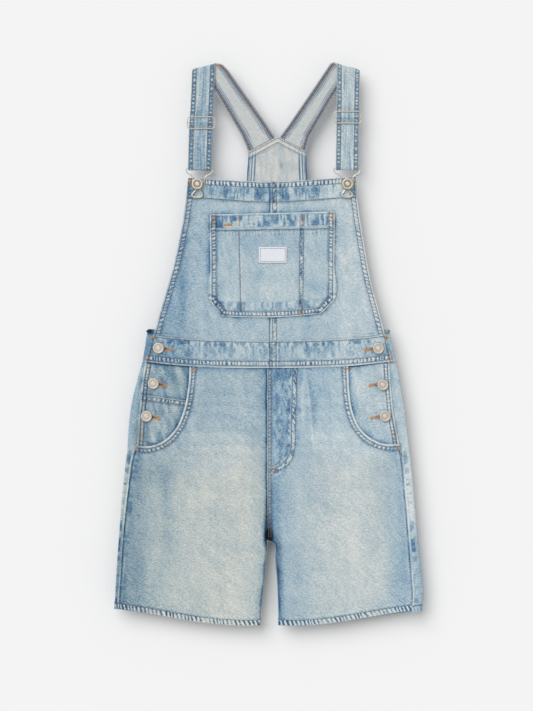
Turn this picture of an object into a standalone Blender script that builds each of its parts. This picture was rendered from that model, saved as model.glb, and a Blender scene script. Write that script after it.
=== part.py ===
"""Denim bib shortalls laid flat on their back, with each cloth piece and metal fitting its own solid.

The garment lies on the plane Z = 0. X runs across it, Y from the hems up to the shoulders.
"""
import math

import bpy
from mathutils import Vector

for old in list(bpy.data.objects):
    bpy.data.objects.remove(old, do_unlink=True)

# All lengths below are in millimetres and become metres when a mesh is made.
MM = 0.001
CLOTH = 1.2
BAND_CLOTH = 1.8
HEM_EXTRA = 0.9
LAYER = 1.6
SEAM_GAP = 0.3
CENTRE_X = 0.0

# How high the side folds, the lapped side openings and the leg edges stand.
FOLD_HEIGHT = 5.0
LAP_HEIGHT = 4.0
WAIST_FOLD = 4.4
LAP_RISE = 2.8
EDGE_RISE = 2.2
LAP_LOW_Y = -174.0
LAP_END_Y = -219.0
FORK_TOP_Y = -268.0
FORK_LOW_Y = -312.0

WIRE = 1.0
BUTTON_R = 8.6
BIB_BUTTON_R = 8.8
ROUND_SIDES = 20
WIRE_SIDES = 6

COLOURS = {
    "denim": (0.49, 0.58, 0.63),
    "denim_back": (0.42, 0.52, 0.60),
    "denim_bib": (0.40, 0.53, 0.61),
    "inside": (0.60, 0.62, 0.60),
    "label": (0.80, 0.80, 0.84),
    "nickel": (0.62, 0.58, 0.49),
    "button": (0.58, 0.54, 0.46),
}

# Lower legs, a row per section from the pocket's foot to the hem. side_x, side_y is the outer
# fold, in_x, in_y the inner edge, lap how far the back piece comes round to the front,
# bow_1 and bow_2 the row's drop at its thirds, extra the hem's added thickness.
LOW_LEFT = [
    (-219.5, -164.5, -4.0, -180.0, 12.5, 0.0, 0.0, 0),
    (-222.0, -181.5, -4.0, -195.5, 10.5, 0.0, 0.0, 0),
    (-224.5, -205.0, -4.0, -215.5, 9.5, 0.0, 0.0, 0),
    (-227.5, -234.0, -4.0, -242.0, 8.5, 0.0, 0.0, 0),
    (-230.0, -265.0, -4.0, -267.0, 7.5, 0.0, 0.0, 0),
    (-231.7, -288.5, -3.9, -287.0, 7.0, 0.0, 0.0, 0),
    (-233.5, -311.5, -3.2, -308.5, 7.0, 0.0, 0.0, 0),
    (-235.5, -338.0, -5.0, -335.0, 7.5, -0.5, -1.0, 0),
    (-237.3, -366.0, -8.0, -369.0, 7.5, -1.5, -2.0, 0),
    (-238.5, -391.0, -12.0, -406.5, 7.0, -3.0, -4.5, 0),
    (-238.8, -399.0, -13.4, -423.0, 7.0, -4.0, -6.0, 0),
    (-238.8, -400.4, -13.5, -424.5, 7.0, -4.0, -6.0, 1),
    (-239.0, -410.5, -14.5, -436.2, 7.0, -4.0, -6.5, 1),
]
LOW_RIGHT = [
    (218.0, -164.5, -3.6, -180.0, 15.0, 0.0, 0.0, 0),
    (220.0, -181.5, -3.6, -195.5, 14.5, 0.0, 0.0, 0),
    (222.5, -205.0, -3.6, -215.5, 14.5, 0.0, 0.0, 0),
    (225.0, -234.0, -3.6, -242.0, 14.5, 0.0, 0.0, 0),
    (228.0, -265.0, -3.5, -267.0, 14.5, 0.0, 0.0, 0),
    (230.0, -288.5, -3.3, -285.0, 15.0, 0.0, 0.0, 0),
    (231.3, -304.0, -2.8, -303.0, 15.0, 0.0, 0.0, 0),
    (232.0, -311.5, 7.2, -308.0, 15.0, 0.0, 0.0, 0),
    (235.0, -338.0, 10.6, -335.0, 16.0, -0.5, -0.5, 0),
    (238.0, -366.0, 13.5, -369.0, 17.0, -1.0, -2.0, 0),
    (239.9, -387.5, 15.0, -403.0, 17.4, -2.5, -4.0, 0),
    (238.0, -402.0, 15.7, -423.0, 16.5, -3.0, -5.5, 0),
    (237.8, -403.4, 15.8, -424.4, 16.5, -3.0, -5.5, 1),
    (236.0, -413.5, 16.0, -436.0, 15.5, -3.0, -6.0, 1),
]
# Back legs above that, from the waistband down. lap is the underlap of the side opening.
UP_LEFT = [
    (-196.2, -28.0, -4.0, -38.2, 39.0, -3.5, -2.0, 0),
    (-201.5, -46.0, -4.0, -57.5, 40.5, -1.5, -1.0, 0),
    (-208.0, -70.5, -4.0, -82.5, 42.0, 0.0, 0.0, 0),
    (-213.0, -93.0, -4.0, -107.0, 42.0, 0.0, 0.0, 0),
    (-215.7, -111.0, -4.0, -129.0, 42.0, 0.0, 0.0, 0),
    (-217.8, -133.5, -4.0, -150.5, 40.5, 0.0, 0.0, 0),
    (-218.8, -150.5, -4.0, -166.0, 37.0, 0.0, 0.0, 0),
]
UP_RIGHT = [
    (197.0, -28.5, -3.6, -38.2, 39.0, -3.5, -2.0, 0),
    (201.0, -46.5, -3.6, -57.5, 40.5, -1.5, -1.0, 0),
    (205.2, -70.5, -3.6, -82.5, 42.0, 0.0, 0.0, 0),
    (209.0, -93.0, -3.6, -107.0, 42.0, 0.0, 0.0, 0),
    (211.7, -111.0, -3.6, -129.0, 42.0, 0.0, 0.0, 0),
    (214.2, -133.5, -3.6, -150.5, 40.5, 0.0, 0.0, 0),
    (216.2, -150.5, -3.6, -166.0, 37.0, 0.0, 0.0, 0),
]
# Front legs beside the pocket mouth. out_x, out_y runs down the mouth's curved edge.
MOUTH_LEFT = [
    (-123.0, -35.4, -4.0, -38.3, -0.6, -0.6),
    (-123.5, -50.0, -4.0, -51.5, -0.4, -0.4),
    (-125.5, -70.5, -4.0, -70.0, 0.0, 0.0),
    (-132.0, -103.0, -4.0, -96.5, 0.0, 0.0),
    (-144.0, -131.0, -4.0, -121.0, 0.0, 0.0),
    (-163.5, -150.5, -4.0, -144.5, 0.0, 0.0),
    (-183.5, -158.0, -4.0, -161.5, 0.0, 0.0),
    (-205.5, -157.0, -4.0, -174.0, 0.0, 0.0),
]
MOUTH_RIGHT = [
    (123.0, -35.2, -3.6, -38.3, -0.6, -0.6),
    (123.5, -50.0, -3.6, -51.5, -0.4, -0.4),
    (124.6, -71.5, -3.6, -70.0, 0.0, 0.0),
    (129.5, -104.0, -3.6, -96.5, 0.0, 0.0),
    (141.5, -131.0, -3.6, -121.0, 0.0, 0.0),
    (159.0, -147.0, -3.6, -144.5, 0.0, 0.0),
    (180.0, -155.0, -3.6, -161.5, 0.0, 0.0),
    (202.5, -155.0, -3.6, -174.0, 0.0, 0.0),
]
# Side pocket panels and the coin pocket, outer edge then inner edge of each row.
FACING_LEFT = [
    (-191.5, -28.6, -104.5, -36.9, -2.4, -2.0),
    (-195.5, -53.0, -105.0, -57.5, -0.5, -0.5),
    (-198.0, -74.5, -107.5, -81.0, 0.0, 0.0),
    (-200.5, -101.0, -114.5, -107.0, 0.0, 0.0),
    (-202.5, -125.5, -127.0, -133.5, 0.0, 0.0),
    (-203.5, -146.0, -145.5, -158.5, 0.0, 0.0),
    (-204.0, -160.5, -169.0, -170.0, 0.0, 0.0),
]
FACING_RIGHT = [
    (186.8, -28.4, 104.5, -36.7, -2.4, -2.0),
    (188.0, -53.0, 105.0, -57.5, -0.5, -0.5),
    (190.0, -75.5, 106.5, -81.0, 0.0, 0.0),
    (192.5, -101.0, 112.5, -107.0, 0.0, 0.0),
    (196.0, -124.0, 125.0, -133.5, 0.0, 0.0),
    (200.0, -144.5, 143.5, -158.5, 0.0, 0.0),
    (202.5, -160.0, 166.0, -170.0, 0.0, 0.0),
]
COIN_LEFT = [
    (-196.7, -78.5, -117.5, -89.5, 0.0, 0.0),
    (-198.2, -93.0, -119.0, -104.0, 0.0, 0.0),
    (-200.0, -112.0, -125.5, -119.5, 0.0, 0.0),
    (-201.2, -133.5, -138.0, -139.5, 0.0, 0.0),
    (-202.0, -149.0, -153.5, -158.5, 0.0, 0.0),
]
# Front waistband halves, a row per upright cut: its top point, then its bottom point.
WAIST_LEFT = [
    (-179.5, 13.5, -192.0, -27.6),
    (-153.5, 10.2, -161.0, -31.4),
    (-122.5, 7.9, -125.5, -34.4),
    (-83.5, 6.2, -85.0, -36.6),
    (-41.5, 5.3, -41.5, -37.4),
    (1.0, 4.9, 1.0, -37.6),
]
WAIST_RIGHT = [
    (180.5, 14.5, 191.5, -27.2),
    (155.0, 11.0, 163.0, -30.6),
    (124.0, 8.5, 127.5, -34.2),
    (85.5, 6.5, 87.0, -36.2),
    (43.5, 5.4, 43.5, -37.2),
    (1.4, 4.9, 1.4, -37.6),
]
# Bib halves, outer edge then centre seam, with the faced top edge marked in the last column.
BIB_LEFT = [
    (-125.4, 257.8, 1.0, 251.2, -0.3, -0.8, 1),
    (-126.5, 243.0, 1.0, 236.0, 0.0, -0.5, 1),
    (-128.2, 227.2, 1.0, 219.0, 0.0, -0.5, 1),
    (-128.4, 225.7, 1.0, 217.5, 0.0, -0.5, 0),
    (-133.0, 194.5, 1.0, 189.0, 0.0, 0.0, 0),
    (-141.0, 152.0, 1.0, 150.0, 0.0, 0.0, 0),
    (-154.0, 100.0, 1.0, 100.5, 0.0, 0.0, 0),
    (-167.2, 54.0, 1.0, 52.5, -1.0, -1.0, 0),
    (-178.6, 14.2, 1.0, 5.4, -3.0, -2.6, 0),
]
BIB_RIGHT = [
    (134.5, 259.4, 1.4, 251.2, -0.3, -0.8, 1),
    (135.8, 243.0, 1.4, 236.0, 0.0, -0.5, 1),
    (136.9, 227.5, 1.4, 219.0, 0.0, -0.5, 1),
    (137.1, 226.0, 1.4, 217.5, 0.0, -0.5, 0),
    (141.6, 193.5, 1.4, 189.0, 0.0, 0.0, 0),
    (148.6, 150.0, 1.4, 150.0, 0.0, 0.0, 0),
    (157.6, 100.5, 1.4, 100.5, 0.0, 0.0, 0),
    (169.7, 54.0, 1.4, 52.5, -1.0, -1.0, 0),
    (179.6, 15.2, 1.4, 5.4, -3.0, -2.6, 0),
]
POCKET_ROWS = [
    (-91.5, 200.5, 102.0, 205.0, 0.0, 0.0, 1),
    (-91.0, 176.0, 102.0, 179.0, 0.0, 0.0, 1),
    (-91.0, 174.5, 102.0, 177.5, 0.0, 0.0, 0),
    (-90.5, 122.5, 101.5, 124.0, 0.0, 0.0, 0),
    (-90.5, 65.5, 101.0, 67.5, 0.0, 0.0, 0),
    (-81.0, 54.0, 91.0, 57.0, -1.0, -1.0, 0),
    (-72.0, 43.0, 81.0, 47.0, -3.5, -3.5, 0),
]
LABEL_ROWS = [
    (-15.5, 150.0, 27.5, 150.0, 0.0, 0.0, 0),
    (-15.5, 125.5, 27.5, 125.5, 0.0, 0.0, 0),
]
# Back bib: left edge, right edge, how far the middle stands above them, faced edge or not.
BACK_BIB_ROWS = [
    (-31.8, 298.0, 57.8, 299.0, 23.0, 1),
    (-32.2, 286.5, 58.2, 287.0, 21.5, 1),
    (-32.3, 285.0, 58.2, 285.5, 21.3, 0),
    (-33.5, 270.0, 58.7, 271.0, 14.0, 0),
    (-34.5, 254.0, 59.5, 257.0, 6.0, 0),
    (-38.0, 223.0, 63.0, 223.0, 1.5, 0),
    (-46.5, 179.5, 71.5, 179.5, 0.0, 0),
    (-69.5, 127.0, 94.5, 127.0, 0.0, 0),
    (-107.0, 76.0, 132.0, 76.0, 0.0, 0),
    (-150.0, 36.0, 160.0, 36.0, 0.0, 0),
    (-164.0, 23.4, 168.0, 23.4, -5.0, 0),
]
# Half-width of what lies under the front bib at each height, and the centre of it.
UNDER_BIB = [
    (300.0, 45.0), (254.0, 47.0), (223.0, 51.0), (179.0, 59.0), (127.0, 82.0),
    (76.0, 120.0), (36.0, 156.0), (10.0, 175.0),
]
UNDER_BIB_X = 12.0

# Straps, a row per crosswise fold or cut: left point, right point, mid height, and the turn of
# the cloth's face in degrees (90 looks up, 0 out over the fold's edge, -90 down).
STRAP_LEFT = [
    (-32.3, 298.5, 10.1, 320.7, 0.6, -90, 0),
    (-43.1, 323.8, -7.6, 347.2, 0.6, -90, 0),
    (-75.5, 377.7, -44.0, 398.4, 0.6, -90, 0),
    (-99.0, 416.0, -62.0, 423.6, 0.6, -90, 0),
    (-109.5, 426.3, -71.0, 433.0, 0.6, -90, 1),
    (-114.0, 427.0, -75.8, 434.6, 1.1, -45, 1),
    (-117.8, 425.5, -82.0, 434.9, 2.1, 0, 1),
    (-119.2, 423.2, -83.6, 432.6, 3.2, 45, 1),
    (-119.4, 420.6, -83.6, 430.0, 3.7, 90, 1),
    (-120.2, 395.0, -84.4, 400.0, 4.2, 90, 0),
    (-122.0, 361.5, -86.0, 361.5, 4.2, 90, 0),
    (-122.8, 352.4, -86.6, 352.4, 2.9, 90, 0),
    (-123.3, 342.7, -87.1, 342.7, 7.3, 90, 0),
    (-123.8, 333.0, -87.6, 333.0, 2.9, 90, 0),
    (-124.2, 323.0, -88.0, 323.0, 4.2, 90, 0),
    (-124.9, 296.0, -88.9, 296.0, 5.0, 90, 0),
    (-125.5, 272.0, -89.4, 271.2, 5.4, 90, 2),
    (-125.5, 270.4, -89.4, 269.6, 4.8, 45, 2),
    (-125.5, 269.8, -89.4, 269.0, 3.5, 0, 2),
    (-125.4, 270.4, -89.3, 269.6, 2.2, -45, 2),
    (-125.2, 272.0, -89.1, 271.2, 1.6, -90, 2),
    (-124.4, 300.0, -88.0, 300.0, 1.3, -90, 0),
    (-122.2, 357.0, -86.4, 357.0, 1.3, -90, 0),
]
STRAP_RIGHT = [
    (16.0, 320.7, 58.0, 299.6, 0.6, -90, 0),
    (31.8, 342.0, 63.6, 320.3, 0.6, -90, 0),
    (67.6, 394.3, 95.6, 375.2, 0.6, -90, 0),
    (88.0, 424.5, 123.0, 417.0, 0.6, -90, 0),
    (94.5, 434.2, 131.5, 425.0, 0.6, -90, 1),
    (98.5, 436.8, 135.4, 426.4, 1.1, -45, 1),
    (104.6, 434.4, 140.6, 423.9, 2.1, 0, 1),
    (105.4, 431.9, 141.0, 421.4, 3.2, 45, 1),
    (105.4, 429.2, 141.0, 418.8, 3.7, 90, 1),
    (105.3, 401.0, 140.6, 396.0, 4.2, 90, 0),
    (104.9, 370.5, 140.1, 370.5, 4.2, 90, 0),
    (104.8, 360.8, 140.0, 360.8, 2.9, 90, 0),
    (104.7, 351.1, 139.9, 351.1, 7.3, 90, 0),
    (104.5, 341.4, 139.7, 341.4, 2.9, 90, 0),
    (104.4, 331.4, 139.6, 331.4, 4.2, 90, 0),
    (103.9, 300.0, 139.1, 300.0, 5.0, 90, 0),
    (103.6, 272.2, 138.8, 272.0, 5.4, 90, 2),
    (103.6, 270.6, 138.8, 270.4, 4.8, 45, 2),
    (103.6, 270.0, 138.8, 269.8, 3.5, 0, 2),
    (103.7, 270.6, 138.7, 270.4, 2.2, -45, 2),
    (103.8, 272.2, 138.6, 272.0, 1.6, -90, 2),
    (104.4, 300.0, 139.0, 300.0, 1.3, -90, 0),
    (104.8, 366.0, 139.8, 366.0, 1.3, -90, 0),
]
FOLD_SIDE_UP = 1

# Bib hook from the middle of its strap bar, right half: x, y, height, wire radius.
HOOK_HALF = [
    (0.0, 0.0, 3.5, 1.0),
    (17.0, 0.0, 3.5, 1.0),
    (20.0, 0.0, 3.5, 1.0),
    (20.8, -2.6, 3.6, 1.0),
    (18.6, -7.0, 3.7, 1.0),
    (12.0, -10.7, 3.8, 1.0),
    (9.5, -13.4, 3.8, 1.0),
    (9.0, -18.0, 3.8, 1.0),
    (9.2, -24.6, 3.8, 1.0),
    (7.4, -29.2, 3.8, 1.0),
    (3.6, -32.0, 3.8, 1.0),
    (2.7, -33.4, 3.8, 1.0),
    (5.0, -36.2, 3.9, 1.2),
    (8.0, -39.8, 4.2, 1.5),
    (7.4, -43.0, 4.4, 1.7),
    (4.0, -44.3, 4.5, 1.8),
]
HOOK_FOOT = (0.0, -44.6, 4.5, 1.8)
# Middle of each strap bar, its turn in degrees and the hook's sideways lean per length.
HOOK_PLACES = {"left": (-107.4, 271.6, -1.3, 0.07), "right": (121.2, 272.1, -0.3, -0.01)}

# Slider frame and its bar, lying level: half-width, half-height, corner, centre height.
SLIDER_HALF_W = 20.8
SLIDER_HALF_H = 9.0
SLIDER_CORNER = 3.4
SLIDER_Z = 5.1
SLIDER_NUB = 23.0
SLIDER_PLACES = {"left": (-105.2, 342.7), "right": (122.3, 351.1)}

# Button profiles from the foot up: radius, height.
SIDE_BUTTON = [
    (3.2, 0.0), (3.2, 1.0), (7.9, 1.3), (BUTTON_R, 1.9), (BUTTON_R, 2.7), (7.7, 3.3),
    (6.7, 3.3), (6.0, 2.9), (3.4, 2.9), (2.6, 3.3),
]
BIB_BUTTON = [
    (3.4, 0.0), (3.4, 2.8), (8.0, 3.1), (BIB_BUTTON_R, 3.7), (BIB_BUTTON_R, 4.5), (7.7, 5.1),
    (6.5, 5.1), (5.8, 4.7), (3.6, 4.7), (2.6, 5.2),
]
BIB_BUTTONS = {"left": (-111.0, 248.0), "right": (122.0, 248.0)}
SIDE_BUTTONS = {
    "left": [(-171.0, -6.5), (-179.0, -61.5), (-189.5, -112.0)],
    "right": [(169.5, -7.0), (176.5, -63.5), (180.0, -112.0)],
}
BUTTON_NAMES = ["waist", "upper", "lower"]


def smooth(low, high, value):
    """Ease from 0 at low to 1 at high."""
    t = min(1.0, max(0.0, (value - low) / (high - low)))
    return t * t * (3.0 - 2.0 * t)


def mix(a, b, t):
    return a + (b - a) * t


def lookup(rows, key, key_column, value_column):
    """Value of one column of a table at a height between its rows, highest row first."""
    if key >= rows[0][key_column]:
        return rows[0][value_column]
    for upper, lower in zip(rows, rows[1:]):
        if key >= lower[key_column]:
            t = (upper[key_column] - key) / (upper[key_column] - lower[key_column])
            return mix(upper[value_column], lower[value_column], t)
    return rows[-1][value_column]


def edge_distance(x, y):
    """How far a point lies inside the garment's side fold at its height."""
    rows = UP_LEFT + LOW_LEFT if x < CENTRE_X else UP_RIGHT + LOW_RIGHT
    return abs(lookup(rows, y, 1, 0) - CENTRE_X) - abs(x - CENTRE_X)


def fork_distance(x, y):
    """How far a point lies inside the leg's inner edge at its height."""
    rows = LOW_LEFT if x < CENTRE_X else LOW_RIGHT
    return abs(x - lookup(rows, y, 3, 2))


def side_raise(x, y):
    """Rise of the front cloth over the side folds and the underlap."""
    inside = edge_distance(x, y)
    upper = 1.0 - smooth(LAP_END_Y, LAP_LOW_Y, y)
    start = mix(44.0, 12.0, upper)
    end = mix(88.0, 50.0, upper)
    return mix(LAP_RISE, EDGE_RISE, upper) * (1.0 - smooth(start, end, inside))


def facing_raise(x, y):
    """Rise of the front leg over the side pocket panel and the coin pocket."""
    inside = edge_distance(x, y)
    foot = smooth(LAP_END_Y, LAP_LOW_Y, y)
    rise = LAYER * (1.0 - smooth(98.0, 140.0, inside)) * foot
    if x < CENTRE_X:
        top = 1.0 - smooth(-76.0, -42.0, y)
        rise += LAYER * (1.0 - smooth(90.0, 126.0, inside)) * foot * top
    return rise


def front_leg_base(x, y):
    """Height of the front leg's underside."""
    fork = 1.0 - smooth(FORK_LOW_Y, FORK_TOP_Y, y)
    inner = EDGE_RISE * fork * (1.0 - smooth(6.0, 40.0, fork_distance(x, y)))
    return LAYER + max(side_raise(x, y) + facing_raise(x, y), inner)


def facing_base(x, y):
    return LAYER + side_raise(x, y)


def coin_base(x, y):
    return LAYER + side_raise(x, y) + LAYER


def under_bib(x, y):
    """1 where the back bib lies under the front one, easing to 0 beyond it."""
    half = lookup(UNDER_BIB, y, 0, 1)
    return 1.0 - smooth(half, half + 45.0, abs(x - UNDER_BIB_X))


def waist_raise(x, y):
    """Rise of the front over the back waistband's wrapped ends."""
    reach = abs(x - CENTRE_X)
    near = smooth(105.0, 140.0, reach)
    return near * smooth(90.0, 30.0, y) if y < 90.0 else 0.0


def bib_base(x, y):
    low = mix(0.3, LAYER, under_bib(x, y))
    low = mix(low, LAYER + 0.4, smooth(60.0, 25.0, y))
    return mix(low, WAIST_FOLD + 0.4, waist_raise(x, y))


def waist_base(x, y):
    reach = abs(x - CENTRE_X)
    return mix(BAND_CLOTH + 0.4, WAIST_FOLD + 0.4, smooth(105.0, 140.0, reach))


def pocket_base(x, y):
    return bib_base(x, y) + CLOTH + 0.4


def label_base(x, y):
    return pocket_base(x, y) + CLOTH + 0.4


def floor_base(x, y):
    return 0.0


def row_point(row, u):
    """Point on a table row at a share u of its length, with the row's bow."""
    first = 13.5 * u * (u - 2.0 / 3.0) * (u - 1.0)
    second = -13.5 * u * (u - 1.0 / 3.0) * (u - 1.0)
    x = mix(row[0], row[2], u)
    y = mix(row[1], row[3], u)
    return x, y + row[-3] * first + row[-2] * second


def material(name, colour, metal, rough):
    found = bpy.data.materials.new(name)
    found.use_nodes = True
    shader = found.node_tree.nodes["Principled BSDF"]
    shader.inputs["Base Color"].default_value = (*colour, 1.0)
    shader.inputs["Metallic"].default_value = metal
    shader.inputs["Roughness"].default_value = rough
    return found


def add_mesh(name, points, faces, look, metal=0.0, rough=0.85):
    """Mesh object from points in millimetres, with a material of its own."""
    mesh = bpy.data.meshes.new(name)
    mesh.from_pydata([tuple(c * MM for c in p) for p in points], [], faces)
    mesh.validate()
    part = bpy.data.objects.new(name, mesh)
    bpy.context.collection.objects.link(part)
    part.data.materials.append(material(name, COLOURS[look], metal, rough))
    return part


def outward(part):
    """Turn every face of a closed mesh outward."""
    mesh = part.data
    total = 0.0
    for face in mesh.polygons:
        origin = mesh.vertices[face.vertices[0]].co
        for i in range(1, len(face.vertices) - 1):
            second = mesh.vertices[face.vertices[i]].co
            third = mesh.vertices[face.vertices[i + 1]].co
            total += origin.dot(second.cross(third))
    if total < 0.0:
        mesh.flip_normals()


def sheet(name, upper, lower, look):
    """Closed sheet between two matching grids of points."""
    rows = len(upper)
    columns = len(upper[0])
    points = [p for row in upper for p in row] + [p for row in lower for p in row]
    base = rows * columns
    faces = []
    for i in range(rows - 1):
        for j in range(columns - 1):
            a = i * columns + j
            b = a + 1
            c = a + columns + 1
            d = a + columns
            faces += [(a, b, c), (a, c, d)]
            faces += [(base + a, base + c, base + b), (base + a, base + d, base + c)]
    rim = [j for j in range(columns)]
    rim += [i * columns + columns - 1 for i in range(1, rows)]
    rim += [(rows - 1) * columns + j for j in range(columns - 2, -1, -1)]
    rim += [i * columns for i in range(rows - 2, 0, -1)]
    for a, b in zip(rim, rim[1:] + rim[:1]):
        faces += [(a, base + b, b), (a, base + a, base + b)]
    part = add_mesh(name, points, faces, look)
    outward(part)
    return part


def flat_panel(name, rows, shares, base, look, thick=CLOTH):
    """Panel lying on what is under it: rows of a table, cut at the given shares."""
    upper = []
    lower = []
    for row in rows:
        depth = thick + HEM_EXTRA * row[-1]
        top = []
        bottom = []
        for u in shares:
            x, y = row_point(row, u)
            z = base(x, y)
            top.append((x, y, z + depth))
            bottom.append((x, y, z))
        upper.append(top)
        lower.append(bottom)
    return sheet(name, upper, lower, look)


def plain(rows):
    """Rows of a table with a last column that marks no faced edge."""
    return [row + (0,) for row in rows]


def front_leg(name, mouth, low):
    """Front leg from the waistband to the hem, turned down at its inner edge below the fork."""
    shares = [0.0, 0.08, 0.2, 0.36, 0.55, 0.74, 0.88]
    turns = [90.0, 60.0, 30.0, 0.0]
    radius = (FOLD_HEIGHT - CLOTH) / 2.0
    rows = plain(mouth)
    for row in low:
        side = 1.0 if row[0] < row[2] else -1.0
        rows.append((row[0] + side * (row[4] + SEAM_GAP), row[1]) + row[2:4] + row[5:])
    upper = []
    lower = []
    for row in rows:
        side = 1.0 if row[0] < row[2] else -1.0
        depth = CLOTH + HEM_EXTRA * row[-1]
        fork = 1.0 - smooth(FORK_LOW_Y, FORK_TOP_Y, row[3])
        length = abs(row[2] - row[0])
        top = []
        bottom = []
        for u in shares:
            x, y = row_point(row, u)
            z = front_leg_base(x, y)
            top.append((x, y, z + depth))
            bottom.append((x, y, z))
        for turn in turns:
            angle = math.radians(turn)
            back = radius * (1.0 - math.cos(angle)) + CLOTH / 2.0
            flat_back = radius * turn / 90.0 + SEAM_GAP / 2.0
            reach = mix(flat_back, back, fork)
            x, y = row_point(row, 1.0 - reach / length)
            level = front_leg_base(row[2] - side * (radius + 1.0), y) + CLOTH / 2.0
            drop = (FOLD_HEIGHT + SEAM_GAP) / 2.0 + radius * math.sin(angle)
            z = mix(level, drop, fork)
            lean = mix(0.0, math.cos(angle), fork)
            rise = mix(1.0, math.sin(angle), fork)
            size = math.hypot(lean, rise)
            lean = side * lean / size
            rise = rise / size
            out = depth - CLOTH / 2.0
            top.append((x + lean * out, y, z + rise * out))
            bottom.append((x - lean * CLOTH / 2.0, y, z - rise * CLOTH / 2.0))
        upper.append(top)
        lower.append(bottom)
    return sheet(name, upper, lower, "denim")


def back_leg(name, up, low):
    """Back leg lying on the ground, wrapped round the side fold on to the front."""
    lap_shares = [1.0, 0.5, 0.0]
    outer_turns = [45.0, 0.0, -45.0, -90.0]
    shares = [0.25, 0.5, 0.75]
    inner_turns = [-90.0, -50.0, -12.0]
    upper = []
    lower = []
    for row in up + low:
        side = 1.0 if row[0] < row[2] else -1.0
        depth = CLOTH + HEM_EXTRA * row[-1]
        fork = 1.0 - smooth(FORK_LOW_Y, FORK_TOP_Y, row[3])
        open_side = smooth(LAP_END_Y, LAP_LOW_Y, row[1])
        height = mix(FOLD_HEIGHT, LAP_HEIGHT, open_side)
        radius = (height - CLOTH) / 2.0
        length = abs(row[2] - row[0])
        outside = []
        inside = []

        def place(reach, z, lean, rise):
            x, y = row_point(row, reach / length)
            thick = depth - CLOTH / 2.0 if z > CLOTH else CLOTH / 2.0
            outside.append((x - side * lean * thick, y, z + rise * thick))
            inside.append((x + side * lean * CLOTH / 2.0, y, z - rise * CLOTH / 2.0))

        start = radius + CLOTH / 2.0
        for share in lap_shares:
            place(mix(start, row[4], share), height - CLOTH / 2.0, 0.0, 1.0)
        for turn in outer_turns:
            angle = math.radians(turn)
            reach = start - radius * math.cos(angle)
            place(reach, height / 2.0 + radius * math.sin(angle), math.cos(angle), math.sin(angle))
        for share in shares:
            place(mix(start, length - start, share), CLOTH / 2.0, 0.0, -1.0)
        inner_radius = (FOLD_HEIGHT - CLOTH) / 2.0
        for turn in inner_turns:
            angle = math.radians(turn)
            round_reach = inner_radius * (1.0 - math.cos(angle)) + CLOTH / 2.0
            flat_reach = SEAM_GAP / 2.0 + inner_radius * (-turn - 12.0) / 78.0
            reach = length - mix(flat_reach, round_reach, fork)
            round_z = FOLD_HEIGHT / 2.0 + inner_radius * math.sin(angle)
            z = mix(CLOTH / 2.0, round_z, fork)
            lean = mix(0.0, -math.cos(angle), fork)
            rise = mix(-1.0, math.sin(angle), fork)
            size = math.hypot(lean, rise)
            place(reach, z, lean / size, rise / size)
        upper.append(outside)
        lower.append(inside)
    return sheet(name, upper, lower, "denim_back")


def back_waistband():
    """One band across the back, wrapped round both sides under the front waistband."""
    half = (WAIST_FOLD - BAND_CLOTH) / 2.0
    top = WAIST_FOLD - BAND_CLOTH / 2.0
    centre = WAIST_FOLD / 2.0
    low = BAND_CLOTH / 2.0
    near = half + BAND_CLOTH / 2.0
    turns = [90.0, 45.0, 0.0, -45.0, -90.0]
    section = [(-1, 40.0, top, 90.0)]
    for turn in turns:
        angle = math.radians(turn)
        reach = near - half * math.cos(angle)
        section.append((-1, reach, centre + half * math.sin(angle), turn))
    section += [(-1, 80.0, low, -90.0), (0, 0.0, low, -90.0), (1, 80.0, low, -90.0)]
    for turn in reversed(turns):
        angle = math.radians(turn)
        reach = near - half * math.cos(angle)
        section.append((1, reach, centre + half * math.sin(angle), turn))
    section.append((1, 40.0, top, 90.0))
    # Each row: left and right fold x, then y on the front, at the fold, on the back, a fifth
    # of the way across the back and in the middle.
    rows = [
        (-188.6, 186.4, 16.2, 19.0, 23.0, 21.2, 18.0),
        (-192.0, 191.8, -3.0, -3.0, -3.0, -6.0, -8.0),
        (-196.0, 196.6, -27.6, -27.6, -27.6, -34.6, -37.6),
    ]
    outside = []
    inside = []
    for left, right, on_front, on_fold, on_back, fifth, middle in rows:
        out_row = []
        in_row = []
        for side, reach, z, turn in section:
            angle = math.radians(turn)
            if side == 0:
                x = CENTRE_X
                y = middle
            else:
                x = left + reach if side < 0 else right - reach
                share = (turn + 90.0) / 180.0
                y = mix(on_back, on_fold, share * 2.0) if share < 0.5 else mix(
                    on_fold, on_front, share * 2.0 - 1.0)
                if z < centre and reach > 40.0:
                    y = fifth
            lean = math.cos(angle) * (side if side else 1)
            rise = math.sin(angle)
            out_row.append((x + lean * BAND_CLOTH / 2.0, y, z + rise * BAND_CLOTH / 2.0))
            in_row.append((x - lean * BAND_CLOTH / 2.0, y, z - rise * BAND_CLOTH / 2.0))
        outside.append(out_row)
        inside.append(in_row)
    return sheet("back_waistband", outside, inside, "denim_back")


def front_waistband(name, cuts):
    """Half of the front waistband, cut upright, its outer end over the back's wrapped end."""
    shares = [0.0, 0.5, 1.0]
    upper = []
    lower = []
    for top_x, top_y, bottom_x, bottom_y in cuts:
        top = []
        bottom = []
        for share in shares:
            x = mix(top_x, bottom_x, share)
            y = mix(top_y, bottom_y, share)
            z = waist_base(x, y)
            top.append((x, y, z + BAND_CLOTH))
            bottom.append((x, y, z))
        upper.append(top)
        lower.append(bottom)
    return sheet(name, upper, lower, "denim_bib")


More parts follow.
